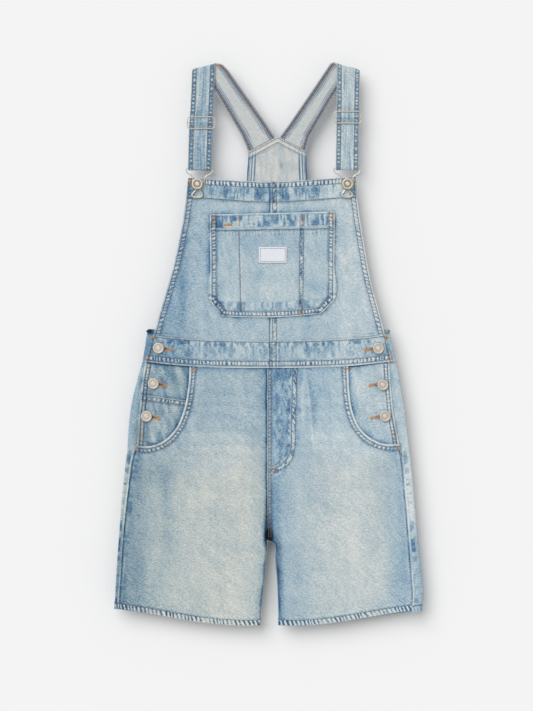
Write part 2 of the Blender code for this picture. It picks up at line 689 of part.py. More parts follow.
def back_bib():
    """Back bib with its pointed, faced top edge."""
    shares = [0.0, 0.17, 0.34, 0.5, 0.66, 0.83, 1.0]
    upper = []
    lower = []
    for row in BACK_BIB_ROWS:
        depth = CLOTH + 0.6 * row[5]
        top = []
        bottom = []
        for u in shares:
            x = mix(row[0], row[2], u)
            y = mix(row[1], row[3], u) + row[4] * (1.0 - abs(2.0 * u - 1.0))
            top.append((x, y, depth))
            bottom.append((x, y, 0.0))
        upper.append(top)
        lower.append(bottom)
    return sheet("back_bib", upper, lower, "inside")


def strap(name, rows):
    """Strap from the back bib over the shoulder fold, down the front and up behind the hook."""
    shares = [0.0, 0.5, 1.0]
    outside = []
    inside = []
    for left_x, left_y, right_x, right_y, level, turn, fold in rows:
        angle = math.radians(turn)
        along = Vector((right_x - left_x, right_y - left_y)).normalized()
        away = Vector((-along.y, along.x))
        if fold != FOLD_SIDE_UP:
            away = -away
        lean = math.cos(angle)
        rise = math.sin(angle)
        out_row = []
        in_row = []
        for share in shares:
            x = mix(left_x, right_x, share)
            y = mix(left_y, right_y, share)
            dx = away.x * lean * CLOTH / 2.0
            dy = away.y * lean * CLOTH / 2.0
            out_row.append((x + dx, y + dy, level + rise * CLOTH / 2.0))
            in_row.append((x - dx, y - dy, level - rise * CLOTH / 2.0))
        outside.append(out_row)
        inside.append(in_row)
    return sheet(name, outside, inside, "denim_bib")


def wire_mesh(name, path, closed, look, sides=WIRE_SIDES):
    """Round wire along a path of x, y, z, radius, laid mostly level."""
    count = len(path)
    points = []
    for i, (x, y, z, radius) in enumerate(path):
        before = path[i - 1] if closed or i else path[i]
        after = path[(i + 1) % count] if closed or i < count - 1 else path[i]
        along = Vector((after[0] - before[0], after[1] - before[1], after[2] - before[2]))
        along.normalize()
        across = along.cross(Vector((0.0, 0.0, 1.0))).normalized()
        above = across.cross(along).normalized()
        for k in range(sides):
            angle = math.tau * (k + 0.5) / sides
            point = Vector((x, y, z)) + across * radius * math.cos(angle)
            point += above * radius * math.sin(angle)
            points.append(tuple(point))
    faces = []
    spans = count if closed else count - 1
    for i in range(spans):
        for k in range(sides):
            a = i * sides + k
            b = i * sides + (k + 1) % sides
            c = ((i + 1) % count) * sides + (k + 1) % sides
            d = ((i + 1) % count) * sides + k
            faces += [(a, b, c), (a, c, d)]
    if not closed:
        faces.append(tuple(reversed(range(sides))))
        faces.append(tuple(range((count - 1) * sides, count * sides)))
    part = add_mesh(name, points, faces, look, metal=1.0, rough=0.32)
    outward(part)
    return part


def hook(side):
    """Wire bib hook: strap bar, arms round the button, pinched neck and broad lip."""
    place_x, place_y, turn, lean = HOOK_PLACES[side]
    right = HOOK_HALF[1:]
    path = [HOOK_HALF[0]] + right + [HOOK_FOOT]
    path += [(-x, y, z, radius) for x, y, z, radius in reversed(right)]
    path = [(x + lean * y, y, z, radius) for x, y, z, radius in path]
    part = wire_mesh("hook_" + side, path, True, "nickel")
    part.location = (place_x * MM, place_y * MM, 0.0)
    part.rotation_euler = (0.0, 0.0, math.radians(turn))
    return part


def slider(side):
    """Wire slider: rounded frame over the strap, bar under it with its two ends out."""
    place_x, place_y = SLIDER_PLACES[side]
    frame = []
    inset = SLIDER_CORNER * (1.0 - math.cos(math.radians(45.0)))
    for sign_x, sign_y in ((1, 1), (-1, 1), (-1, -1), (1, -1)):
        corner = [
            (SLIDER_HALF_W, SLIDER_HALF_H - SLIDER_CORNER),
            (SLIDER_HALF_W - inset, SLIDER_HALF_H - inset),
            (SLIDER_HALF_W - SLIDER_CORNER, SLIDER_HALF_H),
        ]
        if sign_x * sign_y < 0:
            corner.reverse()
        frame += [(sign_x * x, sign_y * y, SLIDER_Z, WIRE) for x, y in corner]
    part = wire_mesh("slider_" + side, frame, True, "nickel")
    bar_path = [(-SLIDER_NUB, 0.0, SLIDER_Z, WIRE), (SLIDER_NUB, 0.0, SLIDER_Z, WIRE)]
    bar = wire_mesh("slider_bar_" + side, bar_path, False, "nickel")
    join = part.modifiers.new("bar", "BOOLEAN")
    join.operation = "UNION"
    join.solver = "EXACT"
    join.object = bar
    part.location = (place_x * MM, place_y * MM, 0.0)
    bar.parent = part
    bar.hide_render = True
    bar.display_type = "WIRE"
    return part


def button(name, profile, x, y, z):
    """Shank button turned from a profile of radius and height."""
    points = []
    for radius, height in profile:
        for k in range(ROUND_SIDES):
            angle = math.tau * k / ROUND_SIDES
            points.append((radius * math.cos(angle), radius * math.sin(angle), height))
    faces = [tuple(reversed(range(ROUND_SIDES)))]
    for i in range(len(profile) - 1):
        for k in range(ROUND_SIDES):
            a = i * ROUND_SIDES + k
            b = i * ROUND_SIDES + (k + 1) % ROUND_SIDES
            faces.append((a, b, b + ROUND_SIDES, a + ROUND_SIDES))
    last = (len(profile) - 1) * ROUND_SIDES
    faces.append(tuple(range(last, last + ROUND_SIDES)))
    part = add_mesh(name, points, faces, "button", metal=1.0, rough=0.45)
    outward(part)
    part.location = (x * MM, y * MM, z * MM)
    return part


back_leg("back_leg_left", UP_LEFT, LOW_LEFT)
back_leg("back_leg_right", UP_RIGHT, LOW_RIGHT)
back_waistband()
back_bib()
front_leg("front_leg_left", MOUTH_LEFT, LOW_LEFT)
front_leg("front_leg_right", MOUTH_RIGHT, LOW_RIGHT)

FACING_SHARES = [0.0, 0.2, 0.4, 0.6, 0.8, 1.0]
flat_panel("side_pocket_left", plain(FACING_LEFT), FACING_SHARES, facing_base, "denim")
flat_panel("side_pocket_right", plain(FACING_RIGHT), FACING_SHARES, facing_base, "denim")
flat_panel("coin_pocket", plain(COIN_LEFT), FACING_SHARES, coin_base, "denim")

front_waistband("front_waistband_left", WAIST_LEFT)
front_waistband("front_waistband_right", WAIST_RIGHT)

BIB_SHARES = [0.0, 0.15, 0.3, 0.45, 0.6, 0.8, 1.0]
flat_panel("bib_left", BIB_LEFT, BIB_SHARES, bib_base, "denim_bib")
flat_panel("bib_right", BIB_RIGHT, BIB_SHARES, bib_base, "denim_bib")
POCKET_SHARES = [0.0, 0.12, 0.3, 0.5, 0.7, 0.88, 1.0]
flat_panel("bib_pocket", POCKET_ROWS, POCKET_SHARES, pocket_base, "denim_bib")
flat_panel("label", LABEL_ROWS, [0.0, 1.0], label_base, "label", thick=1.0)

strap("strap_left", STRAP_LEFT)
strap("strap_right", STRAP_RIGHT)

for side_name in ("left", "right"):
    slider(side_name)
    hook(side_name)
    button_x, button_y = BIB_BUTTONS[side_name]
    under = bib_base(button_x, button_y) + CLOTH + HEM_EXTRA + SEAM_GAP
    button("bib_button_" + side_name, BIB_BUTTON, button_x, button_y, under)
    for label_name, (button_x, button_y) in zip(BUTTON_NAMES, SIDE_BUTTONS[side_name]):
        if label_name == "waist":
            under = waist_base(button_x, button_y) + BAND_CLOTH + SEAM_GAP
        else:
            under = facing_base(button_x, button_y) + CLOTH + SEAM_GAP
            if label_name == "lower" and side_name == "left":
                under += LAYER
        button("side_button_%s_%s" % (side_name, label_name), SIDE_BUTTON, button_x, button_y, under)
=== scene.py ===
"""Looks of the denim shortalls: cloth shells on their solids, creases, wash with painted shade and
highlights, seams and stitching.
"""

import math

import bpy
import numpy as np
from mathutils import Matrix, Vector


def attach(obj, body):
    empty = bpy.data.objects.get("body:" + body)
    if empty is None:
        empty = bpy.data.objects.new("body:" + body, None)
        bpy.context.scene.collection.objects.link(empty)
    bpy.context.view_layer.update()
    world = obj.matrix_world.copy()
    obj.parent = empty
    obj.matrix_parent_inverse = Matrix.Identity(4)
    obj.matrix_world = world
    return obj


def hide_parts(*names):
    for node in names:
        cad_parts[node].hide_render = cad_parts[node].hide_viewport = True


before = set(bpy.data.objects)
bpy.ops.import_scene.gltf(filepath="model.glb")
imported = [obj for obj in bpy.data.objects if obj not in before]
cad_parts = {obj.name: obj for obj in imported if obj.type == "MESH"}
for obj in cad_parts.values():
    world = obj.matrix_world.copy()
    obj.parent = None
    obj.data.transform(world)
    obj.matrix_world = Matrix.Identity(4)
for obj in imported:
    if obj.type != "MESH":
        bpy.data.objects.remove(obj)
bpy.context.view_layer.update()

# Lengths are in millimetres. Points written as photo pixels go through on_cloth.
MM = 0.001
PIXEL = 1.55
PHOTO_X = 268.9
PHOTO_Y = 343.9

CLOTH = 1.2
BAND_CLOTH = 1.8
HEM_EXTRA = 0.9
LAYER = 1.6
SEAM_GAP = 0.3
FOLD_HEIGHT = 5.0
LAP_HEIGHT = 4.0
WAIST_FOLD = 4.4
LAP_RISE = 2.8
EDGE_RISE = 2.2
LAP_LOW_Y = -174.0
LAP_END_Y = -219.0
FORK_TOP_Y = -268.0
FORK_LOW_Y = -312.0

# Lower legs: outer fold x, y, inner edge x, y, lap of the back piece, the row's drop at its
# thirds, and 1 where the hem is turned up.
LOW_LEFT = [
    (-219.5, -164.5, -4.0, -180.0, 12.5, 0.0, 0.0, 0),
    (-222.0, -181.5, -4.0, -195.5, 10.5, 0.0, 0.0, 0),
    (-224.5, -205.0, -4.0, -215.5, 9.5, 0.0, 0.0, 0),
    (-227.5, -234.0, -4.0, -242.0, 8.5, 0.0, 0.0, 0),
    (-230.0, -265.0, -4.0, -267.0, 7.5, 0.0, 0.0, 0),
    (-231.7, -288.5, -3.9, -287.0, 7.0, 0.0, 0.0, 0),
    (-233.5, -311.5, -3.2, -308.5, 7.0, 0.0, 0.0, 0),
    (-235.5, -338.0, -5.0, -335.0, 7.5, -0.5, -1.0, 0),
    (-237.3, -366.0, -8.0, -369.0, 7.5, -1.5, -2.0, 0),
    (-238.5, -391.0, -12.0, -406.5, 7.0, -3.0, -4.5, 0),
    (-238.8, -399.0, -13.4, -423.0, 7.0, -4.0, -6.0, 0),
    (-238.8, -400.4, -13.5, -424.5, 7.0, -4.0, -6.0, 1),
    (-239.0, -410.5, -14.5, -436.2, 7.0, -4.0, -6.5, 1),
]
LOW_RIGHT = [
    (218.0, -164.5, -3.6, -180.0, 15.0, 0.0, 0.0, 0),
    (220.0, -181.5, -3.6, -195.5, 14.5, 0.0, 0.0, 0),
    (222.5, -205.0, -3.6, -215.5, 14.5, 0.0, 0.0, 0),
    (225.0, -234.0, -3.6, -242.0, 14.5, 0.0, 0.0, 0),
    (228.0, -265.0, -3.5, -267.0, 14.5, 0.0, 0.0, 0),
    (230.0, -288.5, -3.3, -285.0, 15.0, 0.0, 0.0, 0),
    (231.3, -304.0, -2.8, -303.0, 15.0, 0.0, 0.0, 0),
    (232.0, -311.5, 7.2, -308.0, 15.0, 0.0, 0.0, 0),
    (235.0, -338.0, 10.6, -335.0, 16.0, -0.5, -0.5, 0),
    (238.0, -366.0, 13.5, -369.0, 17.0, -1.0, -2.0, 0),
    (239.9, -387.5, 15.0, -403.0, 17.4, -2.5, -4.0, 0),
    (238.0, -402.0, 15.7, -423.0, 16.5, -3.0, -5.5, 0),
    (237.8, -403.4, 15.8, -424.4, 16.5, -3.0, -5.5, 1),
    (236.0, -413.5, 16.0, -436.0, 15.5, -3.0, -6.0, 1),
]
UP_LEFT = [
    (-196.2, -28.0, -4.0, -38.2, 39.0, -3.5, -2.0, 0),
    (-201.5, -46.0, -4.0, -57.5, 40.5, -1.5, -1.0, 0),
    (-208.0, -70.5, -4.0, -82.5, 42.0, 0.0, 0.0, 0),
    (-213.0, -93.0, -4.0, -107.0, 42.0, 0.0, 0.0, 0),
    (-215.7, -111.0, -4.0, -129.0, 42.0, 0.0, 0.0, 0),
    (-217.8, -133.5, -4.0, -150.5, 40.5, 0.0, 0.0, 0),
    (-218.8, -150.5, -4.0, -166.0, 37.0, 0.0, 0.0, 0),
]
UP_RIGHT = [
    (197.0, -28.5, -3.6, -38.2, 39.0, -3.5, -2.0, 0),
    (201.0, -46.5, -3.6, -57.5, 40.5, -1.5, -1.0, 0),
    (205.2, -70.5, -3.6, -82.5, 42.0, 0.0, 0.0, 0),
    (209.0, -93.0, -3.6, -107.0, 42.0, 0.0, 0.0, 0),
    (211.7, -111.0, -3.6, -129.0, 42.0, 0.0, 0.0, 0),
    (214.2, -133.5, -3.6, -150.5, 40.5, 0.0, 0.0, 0),
    (216.2, -150.5, -3.6, -166.0, 37.0, 0.0, 0.0, 0),
]
# Other panels: first end x, y, last end x, y, the row's drop at its thirds, and 1 where the
# cloth is doubled.
MOUTH_LEFT = [
    (-123.0, -35.4, -4.0, -38.3, -0.6, -0.6, 0),
    (-123.5, -50.0, -4.0, -51.5, -0.4, -0.4, 0),
    (-125.5, -70.5, -4.0, -70.0, 0.0, 0.0, 0),
    (-132.0, -103.0, -4.0, -96.5, 0.0, 0.0, 0),
    (-144.0, -131.0, -4.0, -121.0, 0.0, 0.0, 0),
    (-163.5, -150.5, -4.0, -144.5, 0.0, 0.0, 0),
    (-183.5, -158.0, -4.0, -161.5, 0.0, 0.0, 0),
    (-205.5, -157.0, -4.0, -174.0, 0.0, 0.0, 0),
]
MOUTH_RIGHT = [
    (123.0, -35.2, -3.6, -38.3, -0.6, -0.6, 0),
    (123.5, -50.0, -3.6, -51.5, -0.4, -0.4, 0),
    (124.6, -71.5, -3.6, -70.0, 0.0, 0.0, 0),
    (129.5, -104.0, -3.6, -96.5, 0.0, 0.0, 0),
    (141.5, -131.0, -3.6, -121.0, 0.0, 0.0, 0),
    (159.0, -147.0, -3.6, -144.5, 0.0, 0.0, 0),
    (180.0, -155.0, -3.6, -161.5, 0.0, 0.0, 0),
    (202.5, -155.0, -3.6, -174.0, 0.0, 0.0, 0),
]
FACING_LEFT = [
    (-191.5, -28.6, -104.5, -36.9, -2.4, -2.0, 0),
    (-195.5, -53.0, -105.0, -57.5, -0.5, -0.5, 0),
    (-198.0, -74.5, -107.5, -81.0, 0.0, 0.0, 0),
    (-200.5, -101.0, -114.5, -107.0, 0.0, 0.0, 0),
    (-202.5, -125.5, -127.0, -133.5, 0.0, 0.0, 0),
    (-203.5, -146.0, -145.5, -158.5, 0.0, 0.0, 0),
    (-204.0, -160.5, -169.0, -170.0, 0.0, 0.0, 0),
]
FACING_RIGHT = [
    (186.8, -28.4, 104.5, -36.7, -2.4, -2.0, 0),
    (188.0, -53.0, 105.0, -57.5, -0.5, -0.5, 0),
    (190.0, -75.5, 106.5, -81.0, 0.0, 0.0, 0),
    (192.5, -101.0, 112.5, -107.0, 0.0, 0.0, 0),
    (196.0, -124.0, 125.0, -133.5, 0.0, 0.0, 0),
    (200.0, -144.5, 143.5, -158.5, 0.0, 0.0, 0),
    (202.5, -160.0, 166.0, -170.0, 0.0, 0.0, 0),
]
COIN_LEFT = [
    (-196.7, -78.5, -117.5, -89.5, 0.0, 0.0, 0),
    (-198.2, -93.0, -119.0, -104.0, 0.0, 0.0, 0),
    (-200.0, -112.0, -125.5, -119.5, 0.0, 0.0, 0),
    (-201.2, -133.5, -138.0, -139.5, 0.0, 0.0, 0),
    (-202.0, -149.0, -153.5, -158.5, 0.0, 0.0, 0),
]
WAIST_LEFT = [
    (-179.5, 13.5, -192.0, -27.6, 0.0, 0.0, 0),
    (-153.5, 10.2, -161.0, -31.4, 0.0, 0.0, 0),
    (-122.5, 7.9, -125.5, -34.4, 0.0, 0.0, 0),
    (-83.5, 6.2, -85.0, -36.6, 0.0, 0.0, 0),
    (-41.5, 5.3, -41.5, -37.4, 0.0, 0.0, 0),
    (1.0, 4.9, 1.0, -37.6, 0.0, 0.0, 0),
]
WAIST_RIGHT = [
    (180.5, 14.5, 191.5, -27.2, 0.0, 0.0, 0),
    (155.0, 11.0, 163.0, -30.6, 0.0, 0.0, 0),
    (124.0, 8.5, 127.5, -34.2, 0.0, 0.0, 0),
    (85.5, 6.5, 87.0, -36.2, 0.0, 0.0, 0),
    (43.5, 5.4, 43.5, -37.2, 0.0, 0.0, 0),
    (1.4, 4.9, 1.4, -37.6, 0.0, 0.0, 0),
]
BIB_LEFT = [
    (-125.4, 257.8, 1.0, 251.2, -0.3, -0.8, 1),
    (-126.5, 243.0, 1.0, 236.0, 0.0, -0.5, 1),
    (-128.2, 227.2, 1.0, 219.0, 0.0, -0.5, 1),
    (-128.4, 225.7, 1.0, 217.5, 0.0, -0.5, 0),
    (-133.0, 194.5, 1.0, 189.0, 0.0, 0.0, 0),
    (-141.0, 152.0, 1.0, 150.0, 0.0, 0.0, 0),
    (-154.0, 100.0, 1.0, 100.5, 0.0, 0.0, 0),
    (-167.2, 54.0, 1.0, 52.5, -1.0, -1.0, 0),
    (-178.6, 14.2, 1.0, 5.4, -3.0, -2.6, 0),
]
BIB_RIGHT = [
    (134.5, 259.4, 1.4, 251.2, -0.3, -0.8, 1),
    (135.8, 243.0, 1.4, 236.0, 0.0, -0.5, 1),
    (136.9, 227.5, 1.4, 219.0, 0.0, -0.5, 1),
    (137.1, 226.0, 1.4, 217.5, 0.0, -0.5, 0),
    (141.6, 193.5, 1.4, 189.0, 0.0, 0.0, 0),
    (148.6, 150.0, 1.4, 150.0, 0.0, 0.0, 0),
    (157.6, 100.5, 1.4, 100.5, 0.0, 0.0, 0),
    (169.7, 54.0, 1.4, 52.5, -1.0, -1.0, 0),
    (179.6, 15.2, 1.4, 5.4, -3.0, -2.6, 0),
]
POCKET_ROWS = [
    (-91.5, 200.5, 102.0, 205.0, 0.0, 0.0, 1),
    (-91.0, 176.0, 102.0, 179.0, 0.0, 0.0, 1),
    (-91.0, 174.5, 102.0, 177.5, 0.0, 0.0, 0),
    (-90.5, 122.5, 101.5, 124.0, 0.0, 0.0, 0),
    (-90.5, 65.5, 101.0, 67.5, 0.0, 0.0, 0),
    (-81.0, 54.0, 91.0, 57.0, -1.0, -1.0, 0),
    (-72.0, 43.0, 81.0, 47.0, -3.5, -3.5, 0),
]
LABEL_ROWS = [
    (-15.5, 150.0, 27.5, 150.0, 0.0, 0.0, 0),
    (-15.5, 125.5, 27.5, 125.5, 0.0, 0.0, 0),
]
# Back bib: left edge, right edge, how far its middle stands above them, faced or not.
BACK_BIB_ROWS = [
    (-31.8, 298.0, 57.8, 299.0, 23.0, 1),
    (-32.2, 286.5, 58.2, 287.0, 21.5, 1),
    (-32.3, 285.0, 58.2, 285.5, 21.3, 0),
    (-33.5, 270.0, 58.7, 271.0, 14.0, 0),
    (-34.5, 254.0, 59.5, 257.0, 6.0, 0),
    (-38.0, 223.0, 63.0, 223.0, 1.5, 0),
    (-46.5, 179.5, 71.5, 179.5, 0.0, 0),
    (-69.5, 127.0, 94.5, 127.0, 0.0, 0),
    (-107.0, 76.0, 132.0, 76.0, 0.0, 0),
    (-150.0, 36.0, 160.0, 36.0, 0.0, 0),
    (-164.0, 23.4, 168.0, 23.4, -5.0, 0),
]
UNDER_BIB = [
    (300.0, 45.0), (254.0, 47.0), (223.0, 51.0), (179.0, 59.0), (127.0, 82.0),
    (76.0, 120.0), (36.0, 156.0), (10.0, 175.0),
]
UNDER_BIB_X = 12.0

# Straps: left point, right point, mid height, turn of the face in degrees, and which fold.
STRAP_LEFT = [
    (-32.3, 298.5, 10.1, 320.7, 0.6, -90, 0),
    (-43.1, 323.8, -7.6, 347.2, 0.6, -90, 0),
    (-75.5, 377.7, -44.0, 398.4, 0.6, -90, 0),
    (-99.0, 416.0, -62.0, 423.6, 0.6, -90, 0),
    (-109.5, 426.3, -71.0, 433.0, 0.6, -90, 1),
    (-114.0, 427.0, -75.8, 434.6, 1.1, -45, 1),
    (-117.8, 425.5, -82.0, 434.9, 2.1, 0, 1),
    (-119.2, 423.2, -83.6, 432.6, 3.2, 45, 1),
    (-119.4, 420.6, -83.6, 430.0, 3.7, 90, 1),
    (-120.2, 395.0, -84.4, 400.0, 4.2, 90, 0),
    (-122.0, 361.5, -86.0, 361.5, 4.2, 90, 0),
    (-122.8, 352.4, -86.6, 352.4, 2.9, 90, 0),
    (-123.3, 342.7, -87.1, 342.7, 7.3, 90, 0),
    (-123.8, 333.0, -87.6, 333.0, 2.9, 90, 0),
    (-124.2, 323.0, -88.0, 323.0, 4.2, 90, 0),
    (-124.9, 296.0, -88.9, 296.0, 5.0, 90, 0),
    (-125.5, 272.0, -89.4, 271.2, 5.4, 90, 2),
    (-125.5, 270.4, -89.4, 269.6, 4.8, 45, 2),
    (-125.5, 269.8, -89.4, 269.0, 3.5, 0, 2),
    (-125.4, 270.4, -89.3, 269.6, 2.2, -45, 2),
    (-125.2, 272.0, -89.1, 271.2, 1.6, -90, 2),
    (-124.4, 300.0, -88.0, 300.0, 1.3, -90, 0),
    (-122.2, 357.0, -86.4, 357.0, 1.3, -90, 0),
]
STRAP_RIGHT = [
    (16.0, 320.7, 58.0, 299.6, 0.6, -90, 0),
    (31.8, 342.0, 63.6, 320.3, 0.6, -90, 0),
    (67.6, 394.3, 95.6, 375.2, 0.6, -90, 0),
    (88.0, 424.5, 123.0, 417.0, 0.6, -90, 0),
    (94.5, 434.2, 131.5, 425.0, 0.6, -90, 1),
    (98.5, 436.8, 135.4, 426.4, 1.1, -45, 1),
    (104.6, 434.4, 140.6, 423.9, 2.1, 0, 1),
    (105.4, 431.9, 141.0, 421.4, 3.2, 45, 1),
    (105.4, 429.2, 141.0, 418.8, 3.7, 90, 1),
    (105.3, 401.0, 140.6, 396.0, 4.2, 90, 0),
    (104.9, 370.5, 140.1, 370.5, 4.2, 90, 0),
    (104.8, 360.8, 140.0, 360.8, 2.9, 90, 0),
    (104.7, 351.1, 139.9, 351.1, 7.3, 90, 0),
    (104.5, 341.4, 139.7, 341.4, 2.9, 90, 0),
    (104.4, 331.4, 139.6, 331.4, 4.2, 90, 0),
    (103.9, 300.0, 139.1, 300.0, 5.0, 90, 0),
    (103.6, 272.2, 138.8, 272.0, 5.4, 90, 2),
    (103.6, 270.6, 138.8, 270.4, 4.8, 45, 2),
    (103.6, 270.0, 138.8, 269.8, 3.5, 0, 2),
    (103.7, 270.6, 138.7, 270.4, 2.2, -45, 2),
    (103.8, 272.2, 138.6, 272.0, 1.6, -90, 2),
    (104.4, 300.0, 139.0, 300.0, 1.3, -90, 0),
    (104.8, 366.0, 139.8, 366.0, 1.3, -90, 0),
]
FOLD_SIDE_UP = 1
# Both halves of the garment, with the sign that turns a distance inwards.
SIDES = (("left", 1.0), ("right", -1.0))
UP = {"left": UP_LEFT, "right": UP_RIGHT}
LOW = {"left": LOW_LEFT, "right": LOW_RIGHT}
MOUTH = {"left": MOUTH_LEFT, "right": MOUTH_RIGHT}
FACING = {"left": FACING_LEFT, "right": FACING_RIGHT}
WAIST = {"left": WAIST_LEFT, "right": WAIST_RIGHT}
BIB = {"left": BIB_LEFT, "right": BIB_RIGHT}
STRAP = {"left": STRAP_LEFT, "right": STRAP_RIGHT}


# Numbers on arrays of points.
def ease(low, high, value):
    """0 at low to 1 at high, with level ends."""
    t = np.clip((value - low) / (high - low), 0.0, 1.0)
    return t * t * (3.0 - 2.0 * t)


def mix(a, b, t):
    return a + (b - a) * t


def column(rows, key, key_column, value_column):
    """One column of a table at heights between its rows, highest row first."""
    keys = [-row[key_column] for row in rows]
    values = [row[value_column] for row in rows]
    return np.interp(-np.asarray(key, float), keys, values)


def noise(x, y, scale, seed):
    """Smooth noise from -1 to 1 with features of the given size."""
    table = np.random.default_rng(seed).uniform(-1.0, 1.0, (128, 128))
    u = np.asarray(x, float) / scale
    v = np.asarray(y, float) / scale
    i = np.floor(u).astype(int)
    j = np.floor(v).astype(int)
    u = u - i
    v = v - j
    u = u * u * (3.0 - 2.0 * u)
    v = v * v * (3.0 - 2.0 * v)
    i %= 128
    j %= 128
    next_i = (i + 1) % 128
    next_j = (j + 1) % 128
    low = mix(table[i, j], table[next_i, j], u)
    high = mix(table[i, next_j], table[next_i, next_j], u)
    return mix(low, high, v)


def on_cloth(points):
    """Photo pixels as millimetres on the cloth."""
    return np.array([((x - PHOTO_X) * PIXEL, (PHOTO_Y - y) * PIXEL) for x, y in points])


def curve(table, step):
    """Rows of numbers on a smooth curve through the table's rows, about step apart."""
    rows = np.array(table, float)
    left = np.hypot(*np.diff(rows[:, 0:2], axis=0).T)
    right = np.hypot(*np.diff(rows[:, 2:4], axis=0).T) if rows.shape[1] > 3 else left
    run = np.maximum(np.maximum(left, right), 1e-6)
    t = np.concatenate([[0.0], np.cumsum(run)])
    slope = np.diff(rows, axis=0) / run[:, None]
    tangent = np.empty_like(rows)
    tangent[0] = slope[0]
    tangent[-1] = slope[-1]
    before = run[:-1, None]
    after = run[1:, None]
    tangent[1:-1] = (slope[:-1] * after + slope[1:] * before) / (before + after)
    stops = np.linspace(0.0, t[-1], max(2, int(math.ceil(t[-1] / step)) + 1))
    k = np.clip(np.searchsorted(t, stops, side="right") - 1, 0, len(run) - 1)
    h = run[k][:, None]
    s = ((stops - t[k]) / run[k])[:, None]
    fine = (2 * s ** 3 - 3 * s ** 2 + 1) * rows[k] + (s ** 3 - 2 * s ** 2 + s) * h * tangent[k]
    fine += (3 * s ** 2 - 2 * s ** 3) * rows[k + 1] + (s ** 3 - s ** 2) * h * tangent[k + 1]
    if rows.shape[1] > 3:
        fine[:, -1] = np.interp(stops, t, rows[:, -1])
    return fine


def seam_coordinates(line, x, y):
    """Run along a line of points and the distance to its left, for arrays of x and y."""
    nearest = np.full(x.shape, 1e9)
    run = np.zeros(x.shape)
    side = np.zeros(x.shape)
    start = 0.0
    for p, q in zip(line[:-1], line[1:]):
        length = math.hypot(q[0] - p[0], q[1] - p[1])
        if length < 1e-9:
            continue
        ux = (q[0] - p[0]) / length
        uy = (q[1] - p[1]) / length
        rx = x - p[0]
        ry = y - p[1]
        t = np.clip(rx * ux + ry * uy, 0.0, length)
        distance = np.hypot(rx - t * ux, ry - t * uy)
        closer = distance < nearest
        nearest = np.where(closer, distance, nearest)
        run = np.where(closer, start + t, run)
        side = np.where(closer, np.where(ux * ry - uy * rx >= 0.0, distance, -distance), side)
        start += length
    return run, side


# Heights of the layers, as in the solids.
def edge_distance(x, y):
    left = column(UP_LEFT + LOW_LEFT, y, 1, 0)
    right = column(UP_RIGHT + LOW_RIGHT, y, 1, 0)
    return np.where(x < 0.0, x - left, right - x)


def fork_distance(x, y):
    left = column(LOW_LEFT, y, 3, 2)
    right = column(LOW_RIGHT, y, 3, 2)
    return np.abs(x - np.where(x < 0.0, left, right))


def side_raise(x, y):
    inside = edge_distance(x, y)
    upper = 1.0 - ease(LAP_END_Y, LAP_LOW_Y, y)
    start = mix(44.0, 12.0, upper)
    end = mix(88.0, 50.0, upper)
    return mix(LAP_RISE, EDGE_RISE, upper) * (1.0 - ease(start, end, inside))


def facing_raise(x, y):
    inside = edge_distance(x, y)
    foot = ease(LAP_END_Y, LAP_LOW_Y, y)
    rise = LAYER * (1.0 - ease(98.0, 140.0, inside)) * foot
    top = 1.0 - ease(-76.0, -42.0, y)
    coin = LAYER * (1.0 - ease(90.0, 126.0, inside)) * foot * top
    return rise + np.where(x < 0.0, coin, 0.0)


def front_leg_base(x, y):
    fork = 1.0 - ease(FORK_LOW_Y, FORK_TOP_Y, y)
    inner = EDGE_RISE * fork * (1.0 - ease(6.0, 40.0, fork_distance(x, y)))
    return LAYER + np.maximum(side_raise(x, y) + facing_raise(x, y), inner)


def facing_base(x, y):
    return LAYER + side_raise(x, y)


def coin_base(x, y):
    return LAYER + side_raise(x, y) + LAYER


def under_bib(x, y):
    half = column(UNDER_BIB, y, 0, 1)
    return 1.0 - ease(half, half + 45.0, np.abs(x - UNDER_BIB_X))


def waist_raise(x, y):
    near = ease(105.0, 140.0, np.abs(x))
    return np.where(y < 90.0, near * ease(90.0, 30.0, y), 0.0)


def bib_base(x, y):
    low = mix(0.3, LAYER, under_bib(x, y))
    low = mix(low, LAYER + 0.4, ease(60.0, 25.0, y))
    return mix(low, WAIST_FOLD + 0.4, waist_raise(x, y))


def waist_base(x, y):
    return mix(BAND_CLOTH + 0.4, WAIST_FOLD + 0.4, ease(105.0, 140.0, np.abs(x)))


def pocket_base(x, y):
    return bib_base(x, y) + CLOTH + 0.4


def label_base(x, y):
    return pocket_base(x, y) + CLOTH + 0.4
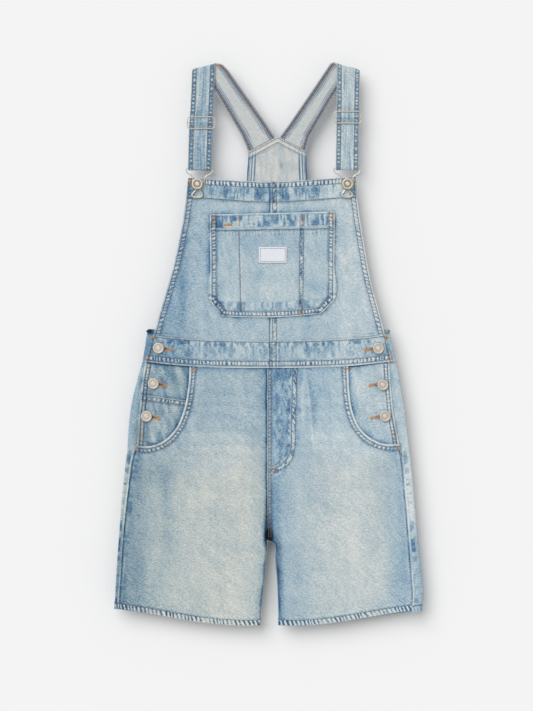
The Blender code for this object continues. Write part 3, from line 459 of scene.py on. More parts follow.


# Seams. Each has its line, and what runs beside it at distances to the left of the line: rows
# of stitches; rope as strength, period, slant, start and end; dark and light lines as distance,
# width and amount; patch as amount, size, start and end, with True for streaks lengthwise.
# Dark lines are partly painted shade beside edges, folds and gaps, and partly darker indigo along seams;
# light lines are worn ridges, and painted highlights on folds.
class Seam:
    def __init__(self, line, rows=(), rope=None, dark=(), light=(), side=1.0, seed=1, step=3.0,
                 thread="tan", trim=(0.0, 0.0), stitched=True, smooth=True, patch=None):
        line = np.array(line, float)
        self.line = curve(line, step) if len(line) > 2 and smooth else line
        self.rows = rows
        self.rope = rope
        self.patch = patch
        self.dark = dark
        self.light = light
        self.side = side
        self.seed = seed
        self.thread = thread
        self.trim = trim
        self.stitched = stitched

    def waves(self, run, distance):
        """Roping along the seam: -1 in its troughs, 1 on its ridges."""
        period, slant = self.rope[1], self.rope[2]
        drift = 3.2 * noise(run, run * 0.0, period * 2.0, self.seed)
        wave = np.sin(math.tau * (run + slant * distance) / period + drift)
        rough = noise(run, distance * 1.6, period * 0.42, self.seed + 7)
        strength = 0.85 + 0.55 * noise(run, run * 0.0, period * 3.1, self.seed + 9)
        return np.clip(strength * (1.05 * wave + 0.75 * rough), -1.2, 1.2)

    def window(self, distance):
        start, end = self.rope[3], self.rope[4]
        return ease(start - 0.8, start + 0.6, distance) * (1.0 - ease(end - 0.6, end + 0.8, distance))

    def paint(self, x, y):
        """What the seam adds to the fade."""
        run, distance = seam_coordinates(self.line, x, y)
        distance = distance * self.side
        fade = np.zeros(x.shape)
        uneven = 0.75 + 0.45 * noise(run, run * 0.0, 14.0, self.seed + 3)
        for offset, width, amount in self.dark:
            fade -= amount * uneven * np.exp(-((distance - offset) / width) ** 2)
        for offset, width, amount in self.light:
            fade += amount * uneven * np.exp(-((distance - offset) / width) ** 2)
        # Each row of stitches also gets a painted shade line in its groove.
        for offset in self.rows:
            fade -= 0.15 * np.exp(-((distance - offset) / 1.1) ** 2)
        if self.rope:
            wave = self.waves(run, distance)
            share = np.where(wave > 0.0, 0.62 * wave, wave)
            fade += self.rope[0] * self.window(distance) * share
        if self.patch:
            amount, size, start, end = self.patch[:4]
            lengthwise = len(self.patch) > 4
            along = run * 0.35 if lengthwise else run
            over = distance + 40.0 if lengthwise else distance * 0.3
            spread = noise(along, over, size, self.seed + 15)
            spread = spread + noise(along, over, size * 0.4, self.seed + 16)
            opening = ease(start - 0.8, start + 0.8, distance)
            closing = 1.0 - ease(end - 1.5, end + 1.5, distance)
            fade -= amount * (opening * closing) * np.clip(1.5 * spread + 0.3, -0.4, 1.3)
        return fade

    def relief(self, x, y):
        """What the seam adds to the height."""
        run, distance = seam_coordinates(self.line, x, y)
        distance = distance * self.side
        rise = np.zeros(x.shape)
        if self.rope:
            rise += 0.22 * self.window(distance) * self.waves(run, distance)
        for offset in self.rows:
            rise -= 0.16 * np.exp(-((distance - offset) / 0.9) ** 2)
        return rise


# Soft folds of the cloth, in photo pixels: ends, half-width and height in millimetres.
LEG_CREASES = [
    (303.5, 370.0, 303.5, 424.0, 4.0, 1.4),
    (308.0, 384.0, 313.5, 446.0, 2.2, 0.8),
    (310.5, 376.0, 315.5, 434.0, 4.5, -1.7),
    (322.0, 374.0, 325.0, 420.0, 6.0, 0.6),
    (182.0, 448.0, 201.0, 459.0, 2.0, 0.5),
    (160.0, 470.0, 215.0, 440.0, 9.0, -0.7),
    (172.0, 486.0, 232.0, 462.0, 8.0, 0.6),
    (350.0, 460.0, 392.0, 480.0, 9.0, -0.6),
    (330.0, 448.0, 372.0, 462.0, 7.0, 0.5),
    (205.0, 372.0, 214.0, 402.0, 4.0, -1.0),
    (232.0, 372.0, 229.0, 398.0, 4.0, 0.9),
    (247.0, 376.0, 252.0, 430.0, 5.0, -0.9),
    (150.0, 560.0, 158.0, 612.0, 9.0, -0.8),
    (184.0, 572.0, 190.0, 620.0, 8.0, 0.8),
    (226.0, 570.0, 222.0, 622.0, 9.0, -0.7),
    (318.0, 572.0, 314.0, 622.0, 9.0, -0.7),
    (352.0, 566.0, 356.0, 618.0, 8.0, 0.7),
    (390.0, 556.0, 394.0, 606.0, 8.0, -0.7),
    (136.0, 500.0, 134.0, 560.0, 6.0, -0.7),
    (402.0, 490.0, 408.0, 552.0, 6.0, -0.7),
]
BIB_CREASES = [
    (232.0, 262.0, 250.0, 300.0, 4.0, 0.6),
    (300.0, 264.0, 288.0, 300.0, 4.0, 0.6),
    (196.0, 205.0, 190.0, 262.0, 6.0, -0.9),
    (345.0, 205.0, 350.0, 262.0, 6.0, -0.6),
    (180.0, 268.0, 176.0, 318.0, 6.0, 0.6),
    (362.0, 268.0, 368.0, 318.0, 6.0, 0.6),
    (205.0, 318.0, 250.0, 326.0, 5.0, 0.5),
    (290.0, 326.0, 340.0, 320.0, 5.0, 0.5),
]


def creases(table, x, y):
    """Height of the listed folds at arrays of points."""
    rise = np.zeros(x.shape)
    for x0, y0, x1, y1, width, height in table:
        ends = on_cloth([(x0, y0), (x1, y1)])
        span = ends[1] - ends[0]
        length = math.hypot(*span)
        ux, uy = span / length
        rx = x - ends[0][0]
        ry = y - ends[0][1]
        t = (rx * ux + ry * uy) / length
        across = rx * uy - ry * ux
        across = across + 1.5 * noise(rx, ry, 22.0, 5)
        taper = ease(-0.25, 0.3, t) * (1.0 - ease(0.7, 1.25, t))
        rise += height * taper * np.exp(-(across / width) ** 2)
    return rise


def leg_rise(x, y):
    """Loose unevenness of the legs' cloth."""
    rise = creases(LEG_CREASES, x, y)
    rise += 0.28 * noise(x, y, 46.0, 11) + 0.14 * noise(x, y, 17.0, 12)
    rise += 0.05 * noise(x, y, 6.0, 13)
    return rise * ease(0.0, 14.0, edge_distance(x, y) + 6.0)


def bib_rise(x, y):
    rise = creases(BIB_CREASES, x, y)
    return rise + 0.22 * noise(x, y, 40.0, 21) + 0.12 * noise(x, y, 15.0, 22)


# Wash and painted shade: fade from dark blue at 0 to almost white at 1, cream tint, and shade. Each
# profile is the fade across the garment, by photo pixel from left to right.
LEG_PROFILE = [
    (115.0, 0.44), (130.0, 0.52), (148.0, 0.68), (180.0, 0.78), (240.0, 0.86), (256.0, 0.81),
    (266.0, 0.77), (267.5, 0.66), (292.0, 0.72), (320.0, 0.80), (354.0, 0.89), (380.0, 0.82),
    (400.0, 0.68), (424.0, 0.68),
]
BIB_PROFILE = [
    (145.0, 0.52), (176.0, 0.58), (198.0, 0.68), (240.0, 0.74), (276.0, 0.75), (308.0, 0.72),
    (346.0, 0.83), (392.0, 0.74),
]


def profile(table, x):
    """Fade across the garment, without corners."""
    px = x / PIXEL + PHOTO_X
    keys = [row[0] for row in table]
    values = [row[1] for row in table]
    near = np.interp(px - 4.0, keys, values) + np.interp(px + 4.0, keys, values)
    return (near + np.interp(px, keys, values)) / 3.0


# The legs' fade and tint are wash and partly painted shade: the left leg is darker and greyer than the
# right, as if lit less.
def leg_wash_and_shade(x, y):
    down = PHOTO_Y - y / PIXEL
    px = x / PIXEL + PHOTO_X
    fade = profile(LEG_PROFILE, x)
    upper = 1.0 - ease(396.0, 486.0, down + 8.0 * noise(x, y, 50.0, 30))
    fade -= upper * np.where(x < -4.0, 0.17, 0.08)
    whisker = np.sin(down * 0.52 + 0.02 * np.abs(px - 268.0) + 1.6 * noise(x, y, 60.0, 35))
    near = ease(0.0, 20.0, np.abs(px - 268.0)) * (1.0 - ease(55.0, 100.0, np.abs(px - 268.0)))
    fade += 0.028 * whisker * near * ease(388.0, 402.0, down) * (1.0 - ease(445.0, 470.0, down))
    fade += 0.040 * noise(x, y, 60.0, 31) + 0.036 * noise(x, y, 20.0, 32)
    fine_twill = noise(x + y, 0.4 * (x - y), 3.6, 34)
    fade += 0.034 * noise(x + y, 0.3 * (x - y), 6.5, 33) + 0.026 * (1.0 + upper) * fine_twill
    fade += 0.030 * noise(x, 0.2 * y, 8.0, 37)
    low = ease(415.0, 492.0, down + 10.0 * noise(x, y, 40.0, 36))
    tint = np.where(x < 0.0, 0.30 + 0.60 * low, 0.52 * low * ease(0.62, 0.84, profile(LEG_PROFILE, x)))
    return fade, tint


def bib_wash(x, y):
    fade = profile(BIB_PROFILE, x)
    fade += 0.045 * noise(x, y, 44.0, 41) + 0.045 * noise(x, y, 15.0, 42)
    fade += 0.050 * noise(x + 0.3 * y, y * 0.35, 5.0, 43) + 0.036 * noise(x, y, 3.0, 44)
    return fade, 0.16 + 0.0 * x


# Wash and partly painted shade: the left facing is darker and greyer than the right, as if lit less.
def facing_wash_and_shade(x, y):
    fade = np.where(x < 0.0, 0.63, 0.80) + 0.045 * noise(x, y, 34.0, 51)
    streak = noise(x + 0.25 * y, y * 0.22, 4.5, 52) + 0.7 * noise(x + 0.25 * y, y * 0.3, 9.0, 54)
    fade = fade + np.where(x < 0.0, 0.15, 0.07) * streak + 0.03 * noise(x, y, 3.0, 53)
    return fade, np.where(x < 0.0, 0.75, 0.1)


# Spots of darker or lighter cloth in photo pixels: x, y, half-width, half-height, amount. Some are painted
# light and shade, marked below.
SPOTS = {
    "leg": [
        (281.0, 415.0, 12.0, 46.0, -0.06),
        (275.0, 512.0, 6.0, 32.0, -0.12),
        # Painted shade in the crotch.
        (268.5, 534.0, 5.0, 18.0, -0.40),
        (152.0, 470.0, 16.0, 26.0, -0.06),
        (186.0, 472.0, 16.0, 14.0, -0.05),
        (212.0, 436.0, 22.0, 9.0, 0.05),
        (176.0, 596.0, 18.0, 14.0, 0.03),
        (325.0, 436.0, 22.0, 8.0, 0.05),
        (396.0, 585.0, 14.0, 18.0, -0.05),
        # Painted shadow of a fold below the left pocket.
        (168.0, 482.0, 10.0, 14.0, -0.12),
        (152.0, 458.0, 9.0, 12.0, 0.08),
        (167.0, 520.0, 6.0, 42.0, -0.05),
        (139.0, 575.0, 7.0, 28.0, -0.06),
        (127.0, 486.0, 4.0, 16.0, -0.14),
        # Painted highlight on the fold beside the fly, and painted shade to its right.
        (303.6, 400.0, 3.0, 32.0, 0.11),
        (315.0, 408.0, 4.0, 24.0, -0.06),
        (322.0, 384.0, 8.0, 8.0, -0.05),
        (236.0, 404.0, 14.0, 14.0, 0.07),
        (191.0, 382.0, 12.0, 12.0, 0.05),
        (345.0, 492.0, 15.0, 22.0, 0.05),
        (302.0, 506.0, 14.0, 26.0, 0.05),
        (322.0, 590.0, 14.0, 18.0, 0.05),
        (214.0, 436.0, 12.0, 10.0, -0.05),
        (125.0, 486.0, 4.0, 14.0, -0.10),
        (301.0, 378.0, 2.2, 7.0, -0.16),
        (299.5, 410.5, 2.0, 3.0, -0.18),
        (298.5, 437.0, 2.0, 4.0, -0.14),
        (283.0, 376.0, 9.0, 5.0, -0.12),
        # Painted shade along the right leg's inner edge.
        (278.5, 575.0, 6.0, 44.0, -0.12),
        (169.0, 372.0, 10.0, 8.0, -0.06),
    ],
    "shade": [
        # Painted shade: the crotch, the right leg's inner edge, folds at the foot of the pocket facings,
        # the back waistband's end hollows, the buttonhole slits, and near the bib's top corners.
        (269.0, 537.0, 5.0, 9.0, 0.92),
        (267.0, 518.0, 3.0, 20.0, 0.45),
        (276.5, 572.0, 5.0, 42.0, 0.36),
        (275.0, 610.0, 3.0, 12.0, 0.28),
        (138.6, 432.0, 2.6, 13.0, 0.50),
        (143.0, 438.0, 3.0, 8.0, 0.30),
        (395.0, 434.0, 2.2, 12.0, 0.36),
        (150.0, 331.0, 3.6, 3.0, 1.0),
        (391.0, 331.5, 3.0, 2.4, 1.0),
        (164.5, 349.0, 4.0, 1.5, 0.70),
        (372.5, 349.4, 4.0, 1.5, 0.60),
        (160.0, 384.6, 4.0, 1.5, 0.70),
        (377.0, 385.0, 4.0, 1.5, 0.60),
        (153.6, 417.2, 4.0, 1.5, 0.70),
        (379.0, 417.2, 4.0, 1.5, 0.60),
        (190.0, 186.0, 7.0, 6.0, 0.25),
        (352.0, 185.0, 7.0, 6.0, 0.15),
    ],
    "pocket": [
        (262.0, 238.0, 24.0, 16.0, -0.08),
        (281.0, 288.0, 20.0, 20.0, 0.09),
        (222.0, 262.0, 8.0, 20.0, 0.05),
        (219.0, 230.0, 8.0, 8.0, -0.10),
        (309.0, 246.0, 6.0, 24.0, 0.07),
        (255.0, 267.0, 8.0, 12.0, -0.06),
        (229.0, 303.0, 12.0, 6.0, 0.08),
    ],
    "bib": [
        (261.5, 192.0, 4.5, 7.5, -0.34),
        (281.5, 191.0, 3.2, 7.5, -0.36),
        (291.0, 190.0, 5.0, 8.0, 0.14),
        (237.0, 190.0, 5.0, 7.0, 0.12),
        (273.0, 212.0, 5.0, 10.0, 0.08),
        (363.0, 262.0, 6.0, 42.0, 0.06),
        (183.0, 300.0, 6.0, 20.0, -0.05),
        (225.0, 191.0, 4.0, 6.0, -0.22),
        (211.0, 193.0, 3.5, 5.5, -0.16),
        (317.0, 190.0, 4.0, 6.0, -0.18),
        (265.0, 344.0, 22.0, 6.0, -0.05),
        (183.0, 250.0, 5.0, 70.0, -0.10),
    ],
    "facing": [
        (169.0, 378.0, 8.0, 10.0, -0.10),
        (152.0, 385.0, 14.0, 8.0, -0.06),
        (147.0, 416.0, 14.0, 8.0, -0.10),
        (382.0, 350.0, 13.0, 8.0, -0.12),
        (384.0, 386.0, 14.0, 8.0, -0.10),
        (385.0, 417.0, 14.0, 8.0, -0.10),
    ],
}


def spots(kind, x, y):
    fade = np.zeros(x.shape)
    for px, py, half_x, half_y, amount in SPOTS[kind]:
        centre = on_cloth([(px, py)])[0]
        u = (x - centre[0]) / (half_x * PIXEL)
        v = (y - centre[1]) / (half_y * PIXEL)
        fade += amount * np.exp(-(u * u + v * v) ** 2)
    return fade


# Materials.
def linear(red, green, blue):
    """Screen colour out of 255 as light."""
    values = []
    for c in (red, green, blue):
        c = c / 255.0
        values.append(c / 12.92 if c <= 0.04045 else ((c + 0.055) / 1.055) ** 2.4)
    return (*values, 1.0)


DENIM_RAMP = [
    (0.00, linear(44, 72, 104)),
    (0.20, linear(68, 105, 143)),
    (0.40, linear(100, 135, 164)),
    (0.55, linear(134, 163, 184)),
    (0.70, linear(163, 186, 199)),
    (0.85, linear(187, 202, 209)),
    (1.00, linear(216, 223, 224)),
]


def plain_material(name, colour, rough, metal=0.0):
    found = bpy.data.materials.new(name)
    found.use_nodes = True
    shader = found.node_tree.nodes["Principled BSDF"]
    shader.inputs["Base Color"].default_value = colour
    shader.inputs["Roughness"].default_value = rough
    shader.inputs["Metallic"].default_value = metal
    return found


def add_node(tree, kind, inputs=None, **settings):
    """A shader node with its settings, and values for some of its inputs."""
    node = tree.nodes.new("ShaderNode" + kind)
    for name, value in settings.items():
        setattr(node, name, value)
    for name, value in (inputs or {}).items():
        node.inputs[name].default_value = value
    return node


TWILL_TURN = math.radians(52.0)
TWILL_SCALE = (260.0, 980.0, 260.0)
MOTTLE_SCALE = 680.0
SHADE = linear(38, 50, 60)


def cloth_material(name, ramp_rows, cream, grain, lift):
    """Washed cloth: colour from the attribute of wash and painted shade, with twill grain and mottling over
    it.
    """
    found = bpy.data.materials.new(name)
    found.use_nodes = True
    tree = found.node_tree
    link = tree.links.new
    shader = tree.nodes["Principled BSDF"]
    shader.inputs["Roughness"].default_value = 0.92
    shader.inputs["Specular IOR Level"].default_value = 0.18
    shader.inputs["Sheen Weight"].default_value = 0.06

    wash_and_shade = add_node(tree, "Attribute", attribute_name="wash_and_shade")
    parts = add_node(tree, "SeparateColor")
    place = add_node(tree, "TexCoord")
    turn = add_node(tree, "Mapping", {"Rotation": (0.0, 0.0, TWILL_TURN), "Scale": TWILL_SCALE})
    twill = add_node(tree, "TexNoise", {"Scale": 1.0, "Detail": 2.0})
    mottle = add_node(tree, "TexNoise", {"Scale": MOTTLE_SCALE, "Detail": 2.0})
    total = add_node(tree, "Math", operation="ADD")
    centred = add_node(tree, "Math", {1: 1.0}, operation="SUBTRACT")
    scaled = add_node(tree, "Math", {1: grain}, operation="MULTIPLY_ADD")
    ramp = add_node(tree, "ValToRGB")
    tinted = add_node(tree, "Mix", {"B": cream}, data_type="RGBA", blend_type="MULTIPLY")
    shaded = add_node(tree, "Mix", {"B": SHADE}, data_type="RGBA", blend_type="MULTIPLY")
    bump = add_node(tree, "Bump", {"Strength": 0.5, "Distance": lift * MM})

    elements = ramp.color_ramp.elements
    while len(elements) > 1:
        elements.remove(elements[-1])
    elements[0].position, elements[0].color = ramp_rows[0]
    for position, colour in ramp_rows[1:]:
        elements.new(position).color = colour

    link(wash_and_shade.outputs["Color"], parts.inputs["Color"])
    link(place.outputs["Object"], turn.inputs["Vector"])
    link(turn.outputs["Vector"], twill.inputs["Vector"])
    link(place.outputs["Object"], mottle.inputs["Vector"])
    link(twill.outputs["Fac"], total.inputs[0])
    link(mottle.outputs["Fac"], total.inputs[1])
    link(total.outputs[0], centred.inputs[0])
    link(centred.outputs[0], scaled.inputs[0])
    link(parts.outputs["Red"], scaled.inputs[2])
    link(scaled.outputs[0], ramp.inputs["Fac"])
    link(parts.outputs["Green"], tinted.inputs["Factor"])
    link(ramp.outputs["Color"], tinted.inputs["A"])
    link(parts.outputs["Blue"], shaded.inputs["Factor"])
    link(tinted.outputs["Result"], shaded.inputs["A"])
    link(shaded.outputs["Result"], shader.inputs["Base Color"])
    link(total.outputs[0], bump.inputs["Height"])
    link(bump.outputs["Normal"], shader.inputs["Normal"])
    return found


def button_material():
    """Metal, darker in rings on its face and at its rim, as its attribute gives."""
    found = plain_material("button_metal", linear(212, 204, 192), 0.5, 0.7)
    tree = found.node_tree
    dark_rings = add_node(tree, "Attribute", attribute_name="dark_rings")
    colours = {"A": linear(216, 208, 196), "B": linear(120, 108, 92)}
    mixed = add_node(tree, "Mix", colours, data_type="RGBA")
    tree.links.new(dark_rings.outputs["Fac"], mixed.inputs["Factor"])
    tree.links.new(mixed.outputs["Result"], tree.nodes["Principled BSDF"].inputs["Base Color"])
    return found


CREAM = (1.045, 0.945, 0.84, 1.0)
INSIDE_CREAM = (0.98, 0.90, 0.85, 1.0)
LABEL_RAMP = [(0.0, linear(190, 194, 205)), (1.0, linear(236, 237, 244))]
denim = cloth_material("denim", DENIM_RAMP, CREAM, 0.66, 0.5)
inside = cloth_material("inside_denim", DENIM_RAMP, INSIDE_CREAM, 0.28, 0.4)
label_cloth = cloth_material("label_cloth", LABEL_RAMP, (1.0, 1.0, 1.0, 1.0), 0.25, 0.1)
THREADS = {
    "tan": plain_material("thread_tan", linear(128, 98, 64), 0.7),
    "copper": plain_material("thread_copper", linear(232, 172, 98), 0.7),
    "orange": plain_material("thread_orange", linear(212, 146, 54), 0.65),
    "white": plain_material("thread_white", linear(120, 126, 142), 0.7),
}
nickel = plain_material("nickel", linear(226, 221, 206), 0.34, 0.75)
button_metal = button_material()


# Meshes.
def surface(name, points, wall, wash_and_shade, material, closed_back=None, back_material=None):
    """Sheet over a grid of points with its rim turned in, or with a back grid of its own."""
    rows, columns = points.shape[:2]
    index = np.arange(rows * columns).reshape(rows, columns)
    quads = [np.stack([index[:-1, :-1], index[:-1, 1:], index[1:, 1:], index[1:, :-1]], -1)]
    along_u = np.gradient(points, axis=1)
    along_v = np.gradient(points, axis=0)
    normal = np.cross(along_u, along_v)
    size = np.linalg.norm(normal, axis=2, keepdims=True)
    normal = normal / np.maximum(size, 1e-9)
    rim = np.concatenate([
        index[0, :], index[1:, -1], index[-1, -2::-1], index[-2:0:-1, 0],
    ])
    flat = points.reshape(-1, 3)
    flat_normal = normal.reshape(-1, 3)
    flat_wash_and_shade = wash_and_shade.reshape(-1, wash_and_shade.shape[-1])
    base = rows * columns
    if closed_back is None:
        turned = flat[rim] + flat_normal[rim] * wall
        other = np.arange(base, base + len(rim))
        extra_wash_and_shade = flat_wash_and_shade[rim]
    else:
        turned = closed_back[0].reshape(-1, 3)
        extra_wash_and_shade = closed_back[1].reshape(-1, wash_and_shade.shape[-1])
        other = rim + base
        quads.append(quads[0][..., ::-1] + base)
    next_rim = np.roll(rim, -1)
    next_other = np.roll(other, -1)
    quads.append(np.stack([rim, other, next_other, next_rim], -1))
    faces = np.concatenate([q.reshape(-1, 4) for q in quads])
    vertices = np.concatenate([flat, turned]) * MM
    colours = np.concatenate([flat_wash_and_shade, extra_wash_and_shade])
    piece = raw_mesh(name, vertices, faces, material, colours)
    if back_material:
        piece.data.materials.append(back_material)
        first = len(quads[0].reshape(-1, 4))
        kinds = np.zeros(len(piece.data.polygons), np.int32)
        kinds[first:2 * first] = 1
        piece.data.polygons.foreach_set("material_index", kinds)
    return piece


def raw_mesh(name, vertices, faces, material, colours=None):
    mesh = bpy.data.meshes.new(name)
    mesh.vertices.add(len(vertices))
    mesh.vertices.foreach_set("co", np.ascontiguousarray(vertices, dtype=np.float32).ravel())
    sides = faces.shape[1]
    mesh.loops.add(faces.size)
    mesh.loops.foreach_set("vertex_index", np.ascontiguousarray(faces, dtype=np.int32).ravel())
    mesh.polygons.add(len(faces))
    mesh.polygons.foreach_set("loop_start", np.arange(0, faces.size, sides, dtype=np.int32))
    mesh.update(calc_edges=True)
    mesh.validate()
    mesh.shade_smooth()
    if colours is not None:
        layer = mesh.color_attributes.new("wash_and_shade", "FLOAT_COLOR", "POINT")
        full = np.ones((len(vertices), 4), np.float32)
        full[:, :3] = np.clip(colours, 0.0, 1.0)
        layer.data.foreach_set("color", full.ravel())
    piece = bpy.data.objects.new(name, mesh)
    bpy.context.collection.objects.link(piece)
    mesh.materials.append(material)
    return piece


def own(piece, node):
    """The piece takes the place of a CAD node and rides with the garment."""
    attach(piece, "root")
    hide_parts(node)
    return piece


def tuck(points, first, away, drop):
    """Adds a narrow strip to the first or last row that goes on under the piece beside it."""
    edge = points[:1] if first else points[-1:]
    strips = []
    for share in (0.25, 1.0):
        strip = edge.copy()
        strip[..., 1] += away * share
        strip[..., 2] -= drop * (0.5 + 0.5 * share)
        strips.append(strip)
    if first:
        return np.concatenate([strips[1], strips[0], points])
    return np.concatenate([points, strips[0], strips[1]])


def table_grid(table, step):
    """Arrays x and y over the panel that a table outlines."""
    rows = curve(table, step)
    width = np.max(np.hypot(rows[:, 2] - rows[:, 0], rows[:, 3] - rows[:, 1]))
    u = np.linspace(0.0, 1.0, int(width / step) + 1)[None, :]
    return row_points(rows, u)


def row_points(rows, u):
    """Points on table rows at shares u of their length, with the rows' bows."""
    first = 13.5 * u * (u - 2.0 / 3.0) * (u - 1.0)
    second = -13.5 * u * (u - 1.0 / 3.0) * (u - 1.0)
    x = mix(rows[:, 0:1], rows[:, 2:3], u)
    y = mix(rows[:, 1:2], rows[:, 3:4], u)
    y = y + rows[:, -3:-2] * first + rows[:, -2:-1] * second
    return x, y


class Panel:
    """A flat-lying panel with its seams: heights, wash and painted shade, and where stitches sit.

    folded is the edge where the cloth is doubled, the side that it lies on and how far it goes.
    """

    def __init__(self, base, rise, wash_and_shade, kind, seams, wall=CLOTH, folded=None):
        self.base = base
        self.rise = rise
        self.wash_and_shade = wash_and_shade
        self.kind = kind
        self.seams = seams
        self.wall = wall
        self.folded = folded

    def top(self, x, y):
        z = self.base(x, y) + self.wall + self.rise(x, y)
        if self.folded:
            line, sign, reach = self.folded
            _, distance = seam_coordinates(line, x, y)
            z = z + HEM_EXTRA * (1.0 - ease(reach - 0.8, reach + 0.8, distance * sign))
        for seam in self.seams:
            z = z + seam.relief(x, y)
        return z

    def colours(self, x, y):
        fade, tint = self.wash_and_shade(x, y)
        if self.kind:
            fade = fade + spots(self.kind, x, y)
        shade = spots("shade", x, y)
        for seam in self.seams:
            fade = fade + seam.paint(x, y)
        return np.stack([fade, tint + 0.0 * x, shade], -1)


def flat_at(height):
    """A base or rise that is the same all over."""
    return lambda x, y: height + 0.0 * x


stitches = {kind: [] for kind in THREADS}
RING = 6


def add_stitch(kind, start, end, up, radius):
    """One stitch, thick in its middle, both ends sunk into the cloth."""
    start = np.asarray(start, float)
    end = np.asarray(end, float)
    along = end - start
    along = along / max(np.linalg.norm(along), 1e-9)
    across = np.cross(along, up)
    across = across / max(np.linalg.norm(across), 1e-9)
    lift = np.cross(across, along)
    stations = [
        (start - lift * radius * 0.6, 0.35),
        (mix(start, end, 0.25), 0.9),
        (mix(start, end, 0.75), 0.9),
        (end - lift * radius * 0.6, 0.35),
    ]
    turns = np.arange(RING) * math.tau / RING
    ring = across[None, :] * np.cos(turns)[:, None] + lift[None, :] * np.sin(turns)[:, None]
    stitches[kind].append(np.stack([p[None, :] + ring * radius * size for p, size in stations]))


def stitch_on(panel, kind, a, b, rise, radius):
    """One stitch from a to b, rise above the panel's surface."""
    ends = np.array([a, b])
    z = panel.top(ends[:, 0], ends[:, 1]) + rise
    add_stitch(kind, (*a, z[0]), (*b, z[1]), (0.0, 0.0, 1.0), radius)


def sew(panel, seam):
    """Rows of stitches beside a seam, on the panel's surface."""
    if not seam.stitched:
        return
    rng = np.random.default_rng(seam.seed + 100)
    for offset in seam.rows:
        line = offset_line(seam.line, offset * seam.side)
        run_stitches(panel, line, seam.thread, rng, seam.trim)


def offset_line(line, distance):
    """The line moved to its left."""
    step = np.gradient(line, axis=0)
    size = np.hypot(step[:, 0], step[:, 1])[:, None]
    left = np.stack([-step[:, 1], step[:, 0]], -1) / np.maximum(size, 1e-9)
    return line + left * distance


PITCH = 3.1


def run_stitches(panel, line, thread, rng, trim=(0.0, 0.0), pitch=PITCH, radius=0.62):
    """Even stitches along a line, each a little off its place."""
    lengths = np.hypot(*np.diff(line, axis=0).T)
    t = np.concatenate([[0.0], np.cumsum(lengths)])
    total = t[-1] - trim[0] - trim[1]
    count = max(1, int(total / pitch))
    starts = trim[0] + (np.arange(count) + 0.5 * rng.uniform(-0.12, 0.12, count)) * total / count
    ends = starts + total / count * 0.84
    for a, b in zip(starts, ends):
        p = np.array([np.interp(a, t, line[:, 0]), np.interp(a, t, line[:, 1])])
        q = np.array([np.interp(b, t, line[:, 0]), np.interp(b, t, line[:, 1])])
        stitch_on(panel, thread, p, q, 0.12, radius)


def bar_tack(panel, p, q, width=2.6, thread="orange"):
    """Dense stitches across the line from p to q, in photo pixels."""
    line = on_cloth([p, q])
    span = line[1] - line[0]
    length = math.hypot(*span)
    ux, uy = span / length
    count = max(3, int(length / 0.85))
    for i in range(count):
        centre = line[0] + span * (i + 0.5) / count
        a = centre + np.array([-uy, ux]) * width / 2.0
        b = centre - np.array([-uy, ux]) * width / 2.0
        stitch_on(panel, thread, a, b, 0.3, 0.5)


def buttonhole(panel, p, q, width=7.0, foot=2.6, thread="orange"):
    """Worked buttonhole from p to q in photo pixels, wide at p and closed by a bar at q."""
    line = on_cloth([p, q])
    span = line[1] - line[0]
    length = math.hypot(*span)
    ux, uy = span / length
    normal = np.array([-uy, ux])
    count = int(length / 0.9)
    for i in range(count):
        share = (i + 0.5) / count
        centre = line[0] + span * share
        gap = mix(width / 2.0 - 1.5, 0.3, min(1.0, share * 1.25))
        for sign in (1.0, -1.0):
            a = centre + normal * sign * gap
            b = centre + normal * sign * (gap + 1.5)
            stitch_on(panel, thread, a, b, 0.3, 0.6)
    for shift in (0.0, 0.8, 1.6):
        a = line[1] + np.array([ux, uy]) * shift + normal * foot
        b = line[1] + np.array([ux, uy]) * shift - normal * foot
        stitch_on(panel, thread, a, b, 0.4, 0.5)


def side_edge(table, step=3.0):
    """Outer edge of a table's rows, top to bottom."""
    return curve([(row[0], row[1]) for row in table], step)


def row_edge(row):
    """Line along one table row, outer edge to inner."""
    u = np.linspace(0.0, 1.0, 40)[None, :]
    x, y = row_points(np.array([row], float), u)
    return np.stack([x[0], y[0]], -1)


def front_rows(table):
    """Rows of the lower leg with the outer end at the front piece's own edge."""
    rows = []
    for row in table:
        side = 1.0 if row[0] < row[2] else -1.0
        rows.append((row[0] + side * (row[4] - 0.9), row[1], row[2], row[3], *row[5:]))
    return rows


def edge_shadow(line, side, seed, amount=0.30, reach=1.7):
    """Painted shadow: a dark line beside the edge of a panel lying on top."""
    return Seam(line, dark=((1.0, reach, amount), (4.0, 3.5, amount * 0.35)), side=side, seed=seed,
                stitched=False, smooth=False)


WAIST_FOOT = [(-192.0, -27.6), (-161.0, -31.4), (-125.5, -34.4), (-85.0, -36.6), (-41.5, -37.4),
              (1.0, -37.6), (43.5, -37.2), (87.0, -36.2), (127.5, -34.2), (163.0, -30.6), (191.5, -27.2)]

